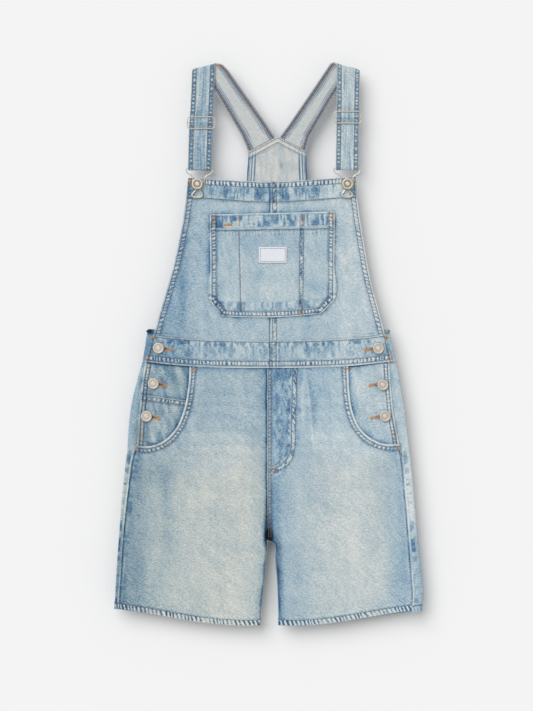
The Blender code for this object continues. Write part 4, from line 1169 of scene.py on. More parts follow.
# Front legs.
FLY_J = [
    (297.2, 366.0), (296.3, 400.0), (295.4, 430.0), (294.6, 449.0), (292.0, 459.5),
    (286.5, 466.0), (279.0, 471.0), (273.5, 473.0),
]
FLY_J_INNER = [
    (293.0, 366.0), (291.9, 400.0), (291.3, 430.0), (290.8, 447.0), (287.8, 457.0),
    (281.5, 464.5), (275.0, 468.5), (271.5, 470.0),
]
leg_panels = {}
for side_name, sign in SIDES:
    mouth = MOUTH[side_name]
    low = LOW[side_name]
    lower = front_rows(low)
    mouth_line = side_edge(mouth)
    outseam = side_edge(lower)
    hem_line = row_edge(lower[-1])
    centre_x = low[0][2]
    seams = [
        Seam(mouth_line, rows=(4.2, 9.0), rope=(0.40, 5.4, 0.3, 4.8, 8.4),
             light=((1.0, 1.7, 0.36),), dark=((10.7, 1.5, 0.20), (3.4, 0.9, 0.20)),
             side=sign, seed=61, trim=(3.0, 3.0)),
        # The outseam's first dark line is painted shadow beside the front piece's edge.
        Seam(outseam, light=((-0.4, 0.8, 0.30), (4.6, 1.2, 0.10)),
             dark=((1.6, 1.3, 0.42), (9.0, 5.0, 0.05)),
             patch=(0.13 if sign > 0.0 else 0.03, 12.0, 2.6, 10.0), side=sign, seed=63),
        Seam(hem_line, rows=(8.6,), rope=(0.66, 6.3, 0.35 * sign, 1.0, 8.2),
             light=((0.2, 1.0, 0.24),), dark=((10.2, 1.2, 0.16),), side=sign, seed=65),
        Seam(hem_line, rope=(0.12, 5.2, 1.0 * sign, 10.4, 19.0), side=sign, seed=57, stitched=False),
    ]
    seams.append(edge_shadow(WAIST_FOOT, -1.0, 66, 0.26))
    # Painted shade along each leg's inner edge below the fork.
    inner_edge = curve([(row[2], row[3]) for row in low if row[3] < -285.0], 3.0)
    seams.append(Seam(inner_edge, dark=((1.2, 1.8, 0.34), (5.0, 4.0, 0.10)), side=-sign, seed=64,
                      stitched=False, smooth=False))
    if side_name == "left":
        seams.append(Seam([(centre_x, -38.0), (centre_x, -300.0)],
                          dark=((0.6, 1.4, 0.42), (5.0, 6.0, 0.05)), side=-1.0, seed=67, stitched=False))
    else:
        seams.append(Seam([(centre_x, -40.0), (centre_x, -300.0)], rows=(3.2, 6.8),
                          rope=(0.22, 5.8, 0.8, 3.6, 6.4), dark=((0.2, 1.3, 0.46), (8.6, 2.2, 0.14)),
                          light=((1.8, 0.8, 0.16),), side=1.0, seed=68, trim=(2.0, 0.0)))
        seams.append(Seam(on_cloth(FLY_J), rows=(0.0,), rope=(0.26, 7.5, 1.4, 0.8, 5.4),
                          patch=(0.34, 3.4, 0.8, 5.0, True), dark=((-1.6, 1.2, 0.10),),
                          light=((2.8, 1.6, 0.10),), side=-1.0, seed=69))
        # Painted highlight along the fold right of the fly, and painted shade on its far side.
        seams.append(Seam(on_cloth([(304.5, 368.0), (308.5, 395.0), (311.8, 420.0), (313.5, 446.0)]),
                          light=((0.0, 1.4, 0.14), (-5.0, 3.0, 0.05)), side=-1.0, seed=55, stitched=False))
        seams.append(Seam(on_cloth([(308.5, 380.0), (311.5, 395.0), (315.0, 430.0)]),
                          dark=((1.5, 3.6, 0.16),), side=1.0, seed=54, stitched=False))
        seams.append(Seam(on_cloth(FLY_J_INNER), rows=(0.0,), patch=(0.24, 4.0, 1.8, 6.5, True),
                          light=((1.3, 0.7, 0.16),), side=-1.0, seed=70))
        seams.append(Seam(on_cloth([(273.5, 368.0), (273.5, 466.0)]), patch=(0.13, 4.5, 0.0, 22.0, True),
                          side=1.0, seed=56, stitched=False))
    panel = Panel(front_leg_base, leg_rise, leg_wash_and_shade, "leg", seams, CLOTH, (hem_line, sign, 12.0))
    leg_panels[side_name] = panel
    table = mouth + lower
    cuts = [0, len(mouth) - 1, len(table) - 1]
    parts = []
    for first, last in zip(cuts, cuts[1:]):
        fine = curve(table[first:last + 1], 1.5)
        parts.append(fine if first == 0 else fine[1:])
    rows = np.vstack(parts)
    fork = (1.0 - ease(FORK_LOW_Y, FORK_TOP_Y, rows[:, 3]))[:, None]
    length = np.abs(rows[:, 2:3] - rows[:, 0:1])
    radius = (FOLD_HEIGHT - CLOTH) / 2.0
    turns = np.linspace(90.0, 0.0, 6)[None, :]
    back = radius * (1.0 - np.cos(np.radians(turns))) + CLOTH / 2.0
    flat_back = radius * turns / 90.0 + SEAM_GAP / 2.0
    reach = mix(flat_back, back, fork)
    u_end = 1.0 - reach[:, :1] / length
    u_flat = np.linspace(0.0, 1.0, 146)[None, :-1] * u_end
    x, y = row_points(rows, u_flat)
    z = panel.top(x, y)
    flat_points = np.stack([x, y, z], -1)
    u_turn = 1.0 - reach / length
    tx, ty = row_points(rows, u_turn)
    inner_x = rows[:, 2:3] - sign * (radius + 1.0)
    level = front_leg_base(inner_x, ty) + CLOTH / 2.0
    drop = (FOLD_HEIGHT + SEAM_GAP) / 2.0 + radius * np.sin(np.radians(turns))
    tz = mix(level, drop, fork)
    lean = mix(0.0, np.cos(np.radians(turns)), fork)
    lift = mix(1.0, np.sin(np.radians(turns)), fork)
    size = np.hypot(lean, lift)
    out = CLOTH / 2.0 + HEM_EXTRA * rows[:, -1:]
    turned = np.stack([tx + sign * lean / size * out, ty + 0.0 * tx, tz + lift / size * out], -1)
    turned[..., 2] += leg_rise(tx, ty) * (1.0 - fork)
    points = np.concatenate([flat_points, turned], axis=1)
    points = tuck(points, True, 2.4, 2.0)
    if sign < 0.0:
        points = points[:, ::-1]
    colours = panel.colours(points[..., 0], points[..., 1])
    piece = surface("front_leg_%s_cloth" % side_name, points, CLOTH, colours, denim)
    own(piece, "front_leg_" + side_name)

# Back legs.
for side_name, sign in SIDES:
    low = LOW[side_name]
    rows = curve(UP[side_name] + low, 1.6)
    fork = (1.0 - ease(FORK_LOW_Y, FORK_TOP_Y, rows[:, 3]))[:, None]
    open_side = ease(LAP_END_Y, LAP_LOW_Y, rows[:, 1])[:, None]
    height = mix(FOLD_HEIGHT, LAP_HEIGHT, open_side)
    radius = (height - CLOTH) / 2.0
    length = np.abs(rows[:, 2:3] - rows[:, 0:1])
    start = radius + CLOTH / 2.0
    hem = rows[:, -1:]
    shares = np.linspace(1.0, 0.0, 9)[None, :]
    outer = np.radians(np.linspace(60.0, -90.0, 6))[None, :]
    flat = np.linspace(0.0, 1.0, 62)[None, 1:-1]
    inner = np.radians(np.linspace(-90.0, -12.0, 5))[None, :]
    inner_radius = (FOLD_HEIGHT - CLOTH) / 2.0
    lap_reach = mix(start, rows[:, 4:5], shares)
    outer_reach = start - radius * np.cos(outer)
    flat_reach = mix(start, length - start, flat)
    round_reach = inner_radius * (1.0 - np.cos(inner)) + CLOTH / 2.0
    level_reach = SEAM_GAP / 2.0 + inner_radius * (-np.degrees(inner) - 12.0) / 78.0
    inner_reach = length - mix(level_reach, round_reach, fork)
    reach = np.concatenate([lap_reach, outer_reach, flat_reach, inner_reach], 1)
    fold_z = mix(CLOTH / 2.0, FOLD_HEIGHT / 2.0 + inner_radius * np.sin(inner), fork)
    z = np.concatenate([
        height - CLOTH / 2.0 + 0.0 * shares,
        height / 2.0 + radius * np.sin(outer),
        CLOTH / 2.0 + 0.0 * flat_reach,
        fold_z,
    ], 1)
    ones = np.ones((len(rows), 1))
    inner_lean = mix(0.0, -np.cos(inner), fork)
    inner_lift = mix(-1.0, np.sin(inner), fork)
    inner_size = np.hypot(inner_lean, inner_lift)
    lean = np.concatenate([
        0.0 * shares * ones,
        np.cos(outer) * ones,
        0.0 * flat_reach,
        inner_lean / inner_size,
    ], 1)
    lift = np.concatenate([
        0.0 * shares * ones + 1.0,
        np.sin(outer) * ones,
        0.0 * flat_reach - 1.0,
        inner_lift / inner_size,
    ], 1)
    x, y = row_points(rows, reach / length)
    thick = np.where(z > CLOTH, CLOTH / 2.0 + HEM_EXTRA * hem, CLOTH / 2.0)
    points = np.stack([x - sign * lean * thick, y, z + lift * thick], -1)
    if sign < 0.0:
        points = points[:, ::-1]
    px, py = points[..., 0], points[..., 1]
    fade, tint = leg_wash_and_shade(px, py)
    down = PHOTO_Y - py / PIXEL
    light_side = 0.24 if side_name == "left" else 0.22
    fade = fade + light_side * (1.0 - ease(505.0, 545.0, down))
    back_seams = [
        # Painted shadow beside the pocket facing's edge.
        Seam(side_edge(FACING[side_name]), dark=((1.6, 1.8, 0.36), (5.0, 3.0, 0.08)),
             side=-sign, seed=151, stitched=False),
        Seam(side_edge(front_rows(low)), light=((0.7, 1.2, 0.20 if sign > 0.0 else 0.34),),
             dark=((3.4, 1.0, 0.14),), patch=(0.26, 9.0, 3.0, 9.0), side=-sign, seed=153,
             stitched=False),
        Seam(row_edge(low[-1]), rope=(0.66, 6.3, 0.35 * sign, 1.0, 8.2),
             dark=((9.0, 1.3, 0.34),), side=sign, seed=155, stitched=False),
    ]
    top_side = ease(2.0, 3.0, points[..., 2])
    for seam in back_seams:
        fade = fade + seam.paint(px, py) * top_side
    colours = np.stack([fade, tint, spots("shade", px, py) * top_side], -1)
    piece = surface("back_leg_%s_cloth" % side_name, points, CLOTH, colours, denim)
    own(piece, "back_leg_" + side_name)
    lap_top = FOLD_HEIGHT - CLOTH + HEM_EXTRA
    lap_panel = Panel(flat_at(lap_top), flat_at(0.0), leg_wash_and_shade, None, [])
    lap_row = offset_line(row_edge(low[-1]), 8.6 * sign)
    near_side = np.abs(lap_row[:, 0] - lap_row[0, 0]) < low[-1][4]
    lap_line = np.vstack([lap_row[near_side], mix(lap_row[near_side][-1], lap_row[~near_side][0], 0.5)])
    run_stitches(lap_panel, lap_line, "tan", np.random.default_rng(157))


def flat_piece(name, node, table, step, panel, material, under=None):
    """A panel's cloth over its table, on its node, with its seams sewn."""
    x, y = table_grid(table, step)
    z = panel.top(x, y)
    points = np.stack([x, y, z], -1)
    if under:
        points = tuck(points, *under)
    if x[0, 0] > x[0, -1]:
        points = points[:, ::-1]
    colours = panel.colours(points[..., 0], points[..., 1])
    piece = surface(name, points, panel.wall, colours, material)
    own(piece, node)
    for seam in panel.seams:
        sew(panel, seam)
    return piece


for panel in leg_panels.values():
    for seam in panel.seams:
        sew(panel, seam)

# Side pockets and the coin pocket.
coin_top = [(-196.7, -78.5), (-117.5, -89.5)]
facing_panels = {}
for side_name, sign in SIDES:
    table = FACING[side_name]
    seams = [
        Seam(side_edge(table), rows=(3.4, 8.4), rope=(0.24, 5.0, 0.2, 3.6, 7.8),
             light=((0.8, 1.4, 0.44), (5.8, 0.9, 0.26), (10.8, 0.8, 0.16)),
             dark=((3.6, 1.0, 0.30), (9.0, 1.0, 0.26)), side=sign, seed=72),
        edge_shadow(side_edge(MOUTH[side_name]), -sign, 73, 0.34, 2.2),
        edge_shadow(WAIST_FOOT, -1.0, 75, 0.30, 2.2),
    ]
    if sign > 0.0:
        seams.append(edge_shadow(coin_top, 1.0, 76, 0.26))
    panel = Panel(facing_base, leg_rise, facing_wash_and_shade, "facing", seams)
    facing_panels[side_name] = panel
    flat_piece("side_pocket_%s_cloth" % side_name, "side_pocket_" + side_name, table, 1.3,
               panel, denim, (True, 2.4, 2.0))
coin_panel = Panel(coin_base, leg_rise, facing_wash_and_shade, "facing", [
    Seam(coin_top, rows=(2.0, 7.6), rope=(0.50, 6.2, 0.2, 2.8, 6.8), light=((0.4, 0.9, 0.12),),
         dark=((9.4, 1.2, 0.16),), side=-1.0, seed=74, smooth=False, step=2.0),
    Seam(side_edge(COIN_LEFT), rows=(2.2, 7.2),
         light=((-0.2, 1.2, 0.40), (4.6, 0.9, 0.26), (9.6, 0.8, 0.14)),
         dark=((2.4, 1.0, 0.30), (7.8, 1.0, 0.26)), side=1.0, seed=78, trim=(8.0, 2.0)),
    edge_shadow(side_edge(MOUTH_LEFT), -1.0, 77, 0.34, 2.2),
])
flat_piece("coin_pocket_cloth", "coin_pocket", COIN_LEFT, 1.2, coin_panel, denim)



# Front waistband.
def waist_rise(x, y):
    return 0.12 * noise(x, y, 16.0, 24)


waist_panels = {}
for side_name, sign in SIDES:
    table = WAIST[side_name]
    top_edge = curve([(row[0], row[1]) for row in table], 3.0)
    low_edge = curve([(row[2], row[3]) for row in table], 3.0)
    end_edge = [(table[0][0], table[0][1]), (table[0][2], table[0][3])]
    seams = [
        Seam(top_edge, rows=(-2.2,), patch=(0.27, 7.0, -9.5, -2.8), light=((-0.4, 0.9, 0.18),),
             side=sign, seed=81, smooth=False),
        Seam(top_edge, patch=(0.14, 6.0, -28.0, -9.0), side=sign, seed=82, smooth=False),
        Seam(low_edge, rows=(3.6, 10.4), rope=(0.52, 5.6, 0.1, 4.4, 9.6),
             light=((0.8, 1.5, 0.34),), dark=((2.6, 0.8, 0.24), (12.2, 1.4, 0.16)),
             side=sign, seed=83, smooth=False),
        Seam(end_edge, rows=(3.0,), light=((0.6, 1.2, 0.3),), side=sign, seed=85),
    ]
    if side_name == "right":
        seams.append(Seam([(1.4, 4.0), (1.4, -36.0)], rows=(3.2, 9.8), rope=(0.16, 6.4, 0.6, 4.0, 9.2),
                          dark=((0.0, 1.4, 0.42), (14.4, 1.6, 0.22)), light=((12.2, 1.0, 0.2),),
                          side=1.0, seed=87))
    else:
        seams.append(Seam([(1.0, 4.0), (1.0, -36.0)], dark=((0.0, 1.2, 0.34),), side=-1.0, seed=88,
                          stitched=False))
    panel = Panel(waist_base, waist_rise, bib_wash, "facing", seams, BAND_CLOTH)
    waist_panels[side_name] = panel
    fine = curve(table, 1.2)
    u = np.linspace(0.0, 1.0, 36)[None, :]
    x, y = row_points(fine, u)
    z = panel.top(x, y)
    points = np.stack([x, y, z], -1)
    if side_name == "left":
        points = np.swapaxes(points, 0, 1)
    else:
        points = np.swapaxes(points[::-1], 0, 1)
    colours = panel.colours(points[..., 0], points[..., 1])
    piece = surface("front_waistband_%s_cloth" % side_name, points, BAND_CLOTH, colours, denim)
    own(piece, "front_waistband_" + side_name)
    for seam in seams:
        sew(panel, seam)

# Bib.
POCKET_EDGE = [
    (-91.5, 200.5), (102.0, 205.0), (101.0, 67.5), (81.0, 47.0), (2.0, 41.0), (-72.0, 43.0),
    (-90.5, 65.5), (-91.5, 200.5),
]
bib_panels = {}
for side_name, sign in SIDES:
    table = BIB[side_name]
    top_edge = row_edge(table[0])
    facing_line = row_edge(table[2])
    side_line = side_edge(table)
    seams = [
        Seam(top_edge, rows=(-1.8, -9.0), rope=(0.52, 6.2, 0.1, -8.6, -2.6), light=((-0.4, 0.9, 0.2),),
             side=sign, seed=91, smooth=False),
        Seam(facing_line, rows=(0.6,), patch=(0.20, 6.0, 2.0, 21.5),
             dark=((-1.4, 1.3, 0.16), (12.0, 9.0, 0.12)), light=((1.6, 0.8, 0.12),),
             side=sign, seed=93, smooth=False),
        Seam(side_line, rows=(2.8, 9.2), rope=(0.34, 6.0, 0.6, 3.6, 8.6), light=((0.6, 1.2, 0.30),),
             dark=((11.2, 1.6, 0.14),), side=sign, seed=95),
    ]
    if side_name == "right":
        seams.append(Seam([(1.4, 248.0), (1.4, 6.0)], rows=(4.4, 10.8),
                          rope=(0.20, 7.4, 0.9, 5.0, 10.2), patch=(0.28, 4.0, 5.0, 9.6, True),
                          dark=((0.0, 1.4, 0.42),), light=((2.4, 0.9, 0.16), (12.4, 0.9, 0.10)),
                          side=1.0, seed=97))
    else:
        seams.append(Seam([(1.0, 248.0), (1.0, 6.0)], dark=((0.0, 1.4, 0.42), (4.0, 2.0, 0.10)),
                          side=-1.0, seed=98, stitched=False))
    seams.append(edge_shadow(POCKET_EDGE, 1.0, 99, 0.30, 1.8))
    panel = Panel(bib_base, bib_rise, bib_wash, "bib", seams, CLOTH, (top_edge, -sign, 31.2))
    bib_panels[side_name] = panel
    flat_piece("bib_%s_cloth" % side_name, "bib_" + side_name, table, 1.3, panel, denim,
               (False, -2.4, 1.6))

# Bib pocket and label.
bottom_row = row_edge(POCKET_ROWS[-1])
pocket_seams = [
    Seam(row_edge(POCKET_ROWS[0]), patch=(0.26, 6.0, -21.0, -3.0), light=((-0.5, 1.2, 0.36),),
         dark=((-2.6, 1.1, 0.30), (-12.0, 8.0, 0.05)), side=1.0, seed=141, smooth=False),
    Seam(on_cloth([(210.5, 230.6), (272.0, 229.6), (334.7, 228.5)]), rows=(0.0,),
         dark=((-1.5, 1.3, 0.18),), light=((1.4, 0.9, 0.14), (-4.0, 1.4, 0.08)),
         rope=(0.14, 5.0, 0.1, -9.0, -2.0), seed=112, smooth=False, trim=(3.0, 3.0)),
]
for outline, sign in (
    ([(-91.5, 200.5), (-90.5, 122.0), (-90.5, 65.5)], 1.0),
    ([(-90.5, 65.5), (-72.0, 43.0)], 1.0),
    ([(102.0, 205.0), (101.5, 124.0), (101.0, 67.5)], -1.0),
    ([(101.0, 67.5), (81.0, 47.0)], -1.0),
):
    pocket_seams.append(Seam(outline, rows=(2.6, 8.5), rope=(0.42, 5.4, 0.2, 3.4, 7.8),
                             light=((0.5, 1.1, 0.38),), dark=((2.2, 0.8, 0.22), (10.4, 1.6, 0.26)),
                             side=sign, seed=115, smooth=False))
pocket_seams.append(Seam(bottom_row, rows=(2.6, 8.5), rope=(0.42, 5.4, 0.1, 3.4, 7.8),
                         light=((0.5, 1.1, 0.38),), dark=((2.2, 0.8, 0.22), (10.4, 1.4, 0.22)),
                         side=1.0, seed=116, smooth=False))
pocket_seams.append(Seam(bottom_row, patch=(0.20, 7.0, 11.0, 24.0), side=1.0, seed=119, smooth=False))
pocket_seams.append(Seam(on_cloth([(239.0, 232.0), (241.0, 312.0)]), rows=(0.0,),
                         light=((1.6, 1.0, 0.08),), dark=((-1.4, 1.0, 0.08),), seed=117))
pocket_seams.append(Seam(on_cloth([(299.9, 230.0), (298.9, 313.0)]), rows=(0.0, 5.9),
                         rope=(0.20, 6.6, 0.9, 0.8, 5.2), patch=(0.28, 4.0, 0.8, 4.8, True), seed=118))
pocket_panel = Panel(pocket_base, bib_rise, bib_wash, "pocket", pocket_seams, CLOTH,
                     (row_edge(POCKET_ROWS[0]), -1.0, 25.0))
flat_piece("bib_pocket_cloth", "bib_pocket", POCKET_ROWS, 1.2, pocket_panel, denim)


def label_wash(x, y):
    return 0.8 + 0.0 * x, 0.0 * x


label_panel = Panel(label_base, bib_rise, label_wash, None, [], 1.0)
flat_piece("label_cloth", "label", LABEL_ROWS, 0.8, label_panel, label_cloth)
LABEL_SEAM = [(-13.3, 147.8), (25.3, 147.8), (25.3, 127.7), (-13.3, 127.7), (-13.3, 147.8)]
rng = np.random.default_rng(9)
for p, q in zip(LABEL_SEAM, LABEL_SEAM[1:]):
    run_stitches(label_panel, np.array([p, q]), "white", rng, pitch=2.6, radius=0.42)

# Back bib, seen from its inside above the front bib's top edge.
back_rows = curve(BACK_BIB_ROWS, 1.8)
u = np.linspace(0.0, 1.0, 121)[None, :]
x = mix(back_rows[:, 0:1], back_rows[:, 2:3], u)
y = mix(back_rows[:, 1:2], back_rows[:, 3:4], u) + back_rows[:, 4:5] * (1.0 - np.abs(2.0 * u - 1.0))
z = CLOTH + 0.6 * back_rows[:, 5:6] + 0.0 * u
z = z + 0.15 * noise(x, y, 18.0, 25) * ease(300.0, 280.0, y)
yoke = on_cloth([(248.4, 151.6), (277.8, 136.3), (306.2, 151.0)])
SIDE_BANDS = {
    "dark": ((0.8, 1.3, 0.72), (3.4, 1.2, 0.30), (6.6, 1.0, 0.62), (11.2, 1.1, 0.66)),
    "light": ((4.8, 0.7, 0.14), (8.8, 0.9, 0.14)),
}
back_seams = [
    Seam(yoke, rows=(-2.4, -9.0), dark=((-0.2, 0.7, 0.10), (-11.0, 0.9, 0.22)), light=((-5.6, 2.4, 0.08),),
         patch=(0.05, 5.0, -34.0, -12.0), seed=121, smooth=False),
    Seam([(-31.8, 298.0), (-34.5, 254.0), (-38.0, 223.0)], **SIDE_BANDS, side=1.0, seed=123),
    Seam([(57.8, 299.0), (59.5, 257.0), (63.0, 223.0)], **SIDE_BANDS, side=-1.0, seed=124),
]


def inside_wash(x, y):
    fade = 0.91 + 0.03 * noise(x, y, 30.0, 61) + 0.07 * noise(x, y * 0.25, 4.0, 62)
    fade += 0.02 * noise(x, y, 3.0, 63)
    smudge = on_cloth([(281.0, 165.0)])[0]
    spread = ((x - smudge[0]) / 3.2) ** 2 + ((y - smudge[1]) / 6.0) ** 2
    return fade - 0.30 * np.exp(-spread), 1.0 + 0.0 * x


back_panel = Panel(flat_at(0.62), flat_at(0.0), inside_wash, None, back_seams)
colours = back_panel.colours(x, y)
closed = (np.stack([x, y, 0.0 * z], -1), np.stack([0.62 + 0.0 * x, 0.1 + 0.0 * x, 0.0 * x], -1))
back_piece = surface("back_bib_cloth", np.stack([x, y, z], -1), CLOTH, colours, inside, closed)
own(back_piece, "back_bib")
for seam in back_seams:
    sew(back_panel, seam)

# Back waistband, wrapped round both sides.
# Each point across it: side, reach from that side's fold, height, and turn of the outer face.
LAP_REACH = 40.0
BACK_REACH = 80.0
FOLD_TURNS = (90.0, 60.0, 30.0, 0.0, -30.0, -60.0, -90.0)
half = (WAIST_FOLD - BAND_CLOTH) / 2.0
top_level = WAIST_FOLD - BAND_CLOTH / 2.0
low_level = BAND_CLOTH / 2.0


def fold_point(side, turn):
    angle = math.radians(turn)
    reach = half + low_level - half * math.cos(angle)
    return side, reach, WAIST_FOLD / 2.0 + half * math.sin(angle), turn


section = [(-1, LAP_REACH, top_level, 90.0)]
section += [fold_point(-1, turn) for turn in FOLD_TURNS]
section += [(-1, BACK_REACH, low_level, -90.0), (0, 0.0, low_level, -90.0)]
section += [(1, BACK_REACH, low_level, -90.0)]
section += [fold_point(1, turn) for turn in reversed(FOLD_TURNS)]
section += [(1, LAP_REACH, top_level, 90.0)]
# Left and right fold, then the height of the edge on the lap, the folds and the back.
BACK_WAIST_ROWS = [
    (-188.6, 186.4, 16.2, 19.0, 23.0, 21.2, 18.0),
    (-192.0, 191.8, -3.0, -3.0, -3.0, -6.0, -8.0),
    (-196.0, 196.6, -27.6, -27.6, -27.6, -34.6, -37.6),
]
outside_rows = []
for share in np.linspace(0.0, 1.0, 19):
    first = BACK_WAIST_ROWS[0] if share < 0.5 else BACK_WAIST_ROWS[1]
    second = BACK_WAIST_ROWS[1] if share < 0.5 else BACK_WAIST_ROWS[2]
    t = share * 2.0 if share < 0.5 else share * 2.0 - 1.0
    left, right, on_front, on_fold, on_back, fifth, middle = (mix(a, b, t) for a, b in zip(first, second))
    out_row = []
    for side, reach, height, turn in section:
        angle = math.radians(turn)
        if side == 0:
            px, py = 0.0, middle
        else:
            px = left + reach if side < 0 else right - reach
            around = (turn + 90.0) / 180.0
            py = mix(on_fold, on_front, around * 2.0 - 1.0)
            if around < 0.5:
                py = mix(on_back, on_fold, around * 2.0)
            if height < WAIST_FOLD / 2.0 and reach > LAP_REACH:
                py = fifth
        lean = math.cos(angle) * (side if side else 1)
        out_row.append((px + lean * BAND_CLOTH / 2.0, py, height + math.sin(angle) * BAND_CLOTH / 2.0))
    outside_rows.append(out_row)
points = np.array(outside_rows)
fine_columns = []
for j in range(points.shape[1] - 1):
    count = max(1, int(np.linalg.norm(points[0, j + 1] - points[0, j]) / 3.0))
    for k in range(count):
        fine_columns.append(mix(points[:, j], points[:, j + 1], k / count))
fine_columns.append(points[:, -1])
points = np.stack(fine_columns, 1)
fade, tint = bib_wash(points[..., 0], points[..., 1])
piece = surface("back_waistband_cloth", points, BAND_CLOTH, np.stack([
    fade - 0.04, tint, spots("shade", points[..., 0], points[..., 1])], -1), denim)
own(piece, "back_waistband")


# Straps.
def strap_grid(table, step):
    """Mid-surface points and face directions along a strap, closer together at its folds."""
    rows = np.array(table, float)
    lefts = rows[:, 0:2]
    rights = rows[:, 2:4]
    run = np.hypot(*np.diff((lefts + rights) / 2.0, axis=0).T)
    run = run + np.abs(np.diff(rows[:, 4])) + np.abs(np.diff(rows[:, 5])) * 0.02
    t = np.concatenate([[0.0], np.cumsum(np.maximum(run, 0.4))])
    stops = np.unique(np.concatenate([np.linspace(0.0, t[-1], int(t[-1] / step) + 1), t]))
    fine = np.stack([np.interp(stops, t, rows[:, c]) for c in range(6)], -1)
    last = len(table) - 1
    before = np.minimum(np.searchsorted(t, stops, side="right") - 1, last)
    after = np.minimum(np.searchsorted(t, stops, side="left"), last)
    folds = np.array([row[6] for row in table])
    flags = np.maximum(folds[before], folds[after])
    return fine, flags, stops


for side_name, sign in SIDES:
    fine, flags, run = strap_grid(STRAP[side_name], 1.3)
    u = np.linspace(0.0, 1.0, 29)
    left = fine[:, 0:2]
    right = fine[:, 2:4]
    along = right - left
    width = np.hypot(along[:, 0], along[:, 1])
    along = along / width[:, None]
    away = np.stack([-along[:, 1], along[:, 0]], -1)
    away = np.where((flags == FOLD_SIDE_UP)[:, None], away, -away)
    angle = np.radians(fine[:, 5])
    lean = np.cos(angle)
    lift = np.sin(angle)
    direction = np.concatenate([away * lean[:, None], lift[:, None]], -1)
    mid = np.concatenate([
        mix(left[:, None, :], right[:, None, :], u[None, :, None]),
        np.repeat(fine[:, 4:5], len(u), 1)[:, :, None],
    ], -1)
    from_edge = np.minimum(u[None, :] * width[:, None], (1.0 - u[None, :]) * width[:, None])
    length_run = np.repeat(run[:, None], len(u), 1)
    across = u[None, :] * width[:, None]
    band = ease(0.6, 1.6, from_edge) * (1.0 - ease(6.6, 7.8, from_edge))
    seed = 131 if side_name == "left" else 141
    wave = np.sin(math.tau * (length_run + np.where(across > 18.0, 2.2, 0.0)) / 6.4
                  + 2.6 * noise(length_run, across * 0.0 + np.where(across > 18.0, 40.0, 0.0), 11.0, seed))
    wave = np.clip(0.8 * wave + 0.8 * noise(length_run, across * 1.6, 3.2, seed + 1), -1.0, 1.0)
    ripple = 0.16 * band * wave
    streaks = 0.06 * noise(length_run * 0.16, across, 2.6, seed + 2)
    streaks += 0.05 * noise(length_run, across, 3.0, seed + 3)
    threads = noise(length_run * 0.05, across, 1.5, seed + 5)
    threads += 0.7 * noise(length_run * 0.09, across, 2.4, seed + 6)
    middle = 1.0 - ease(9.5, 7.5, from_edge)
    front = (0.64 if side_name == "left" else 0.73) + 0.19 * threads * middle + 0.6 * streaks
    front += 0.20 * np.exp(-((from_edge - 9.0) / 0.9) ** 2)
    dots = ease(0.15, 0.75, wave) * np.exp(-((from_edge - 4.2) / 2.0) ** 2)
    front += band * (0.58 * dots - 0.30)
    front += 0.16 * np.exp(-((from_edge - 0.3) / 0.7) ** 2) - 0.14 * np.exp(-((from_edge - 7.6) / 0.7) ** 2)
    reverse = 0.90 - 0.62 * ease(0.1, 0.6, from_edge) * (1.0 - ease(8.2, 9.0, from_edge))
    reverse += 0.3 * streaks - 0.46 * np.exp(-((from_edge - 10.8) / 0.6) ** 2)
    reverse += 0.05 * band * wave
    zero = np.zeros(front.shape)
    front_wash = np.stack([front, 0.35 + zero, zero], -1)
    reverse_wash = np.stack([reverse, ease(8.0, 9.0, from_edge), zero], -1)
    outer = mid + direction[:, None, :] * (CLOTH / 2.0 + ripple[:, :, None] * 0.8)
    inner = mid - direction[:, None, :] * CLOTH / 2.0
    piece = surface("strap_%s_cloth" % side_name, outer, CLOTH, front_wash, denim,
                    (inner, reverse_wash), inside)
    own(piece, "strap_" + side_name)
    rng = np.random.default_rng(seed)
    mid_run = np.concatenate([[0.0], np.cumsum(np.linalg.norm(np.diff(mid[:, 14], axis=0), axis=1))])
    for edge in (1.6, 6.9):
        for from_left in (True, False):
            share = np.clip(edge / width, 0.0, 1.0)
            share = share if from_left else 1.0 - share
            line = np.concatenate([mix(left, right, share[:, None]), fine[:, 4:5]], -1)
            for face in (1.0, -1.0):
                thread, radius = ("tan", 0.56) if face > 0.0 else ("copper", 0.95)
                count = int(mid_run[-1] / PITCH)
                starts = (np.arange(count) + rng.uniform(-0.06, 0.06, count)) * mid_run[-1] / count
                for a in starts:
                    b = a + 2.6
                    ends = []
                    for stop in (a, b):
                        p = np.array([np.interp(stop, mid_run, line[:, c]) for c in range(3)])
                        n = np.array([np.interp(stop, mid_run, direction[:, c]) for c in range(3)])
                        n = n / max(np.linalg.norm(n), 1e-6)
                        ends.append((p + n * face * (CLOTH / 2.0 + 0.12), n))
                    middle_turn = np.interp((a + b) / 2.0, mid_run, fine[:, 5])
                    if abs(abs(middle_turn) - 90.0) > 60.0:
                        continue
                    add_stitch(thread, ends[0][0], ends[1][0], ends[0][1] * face, radius)

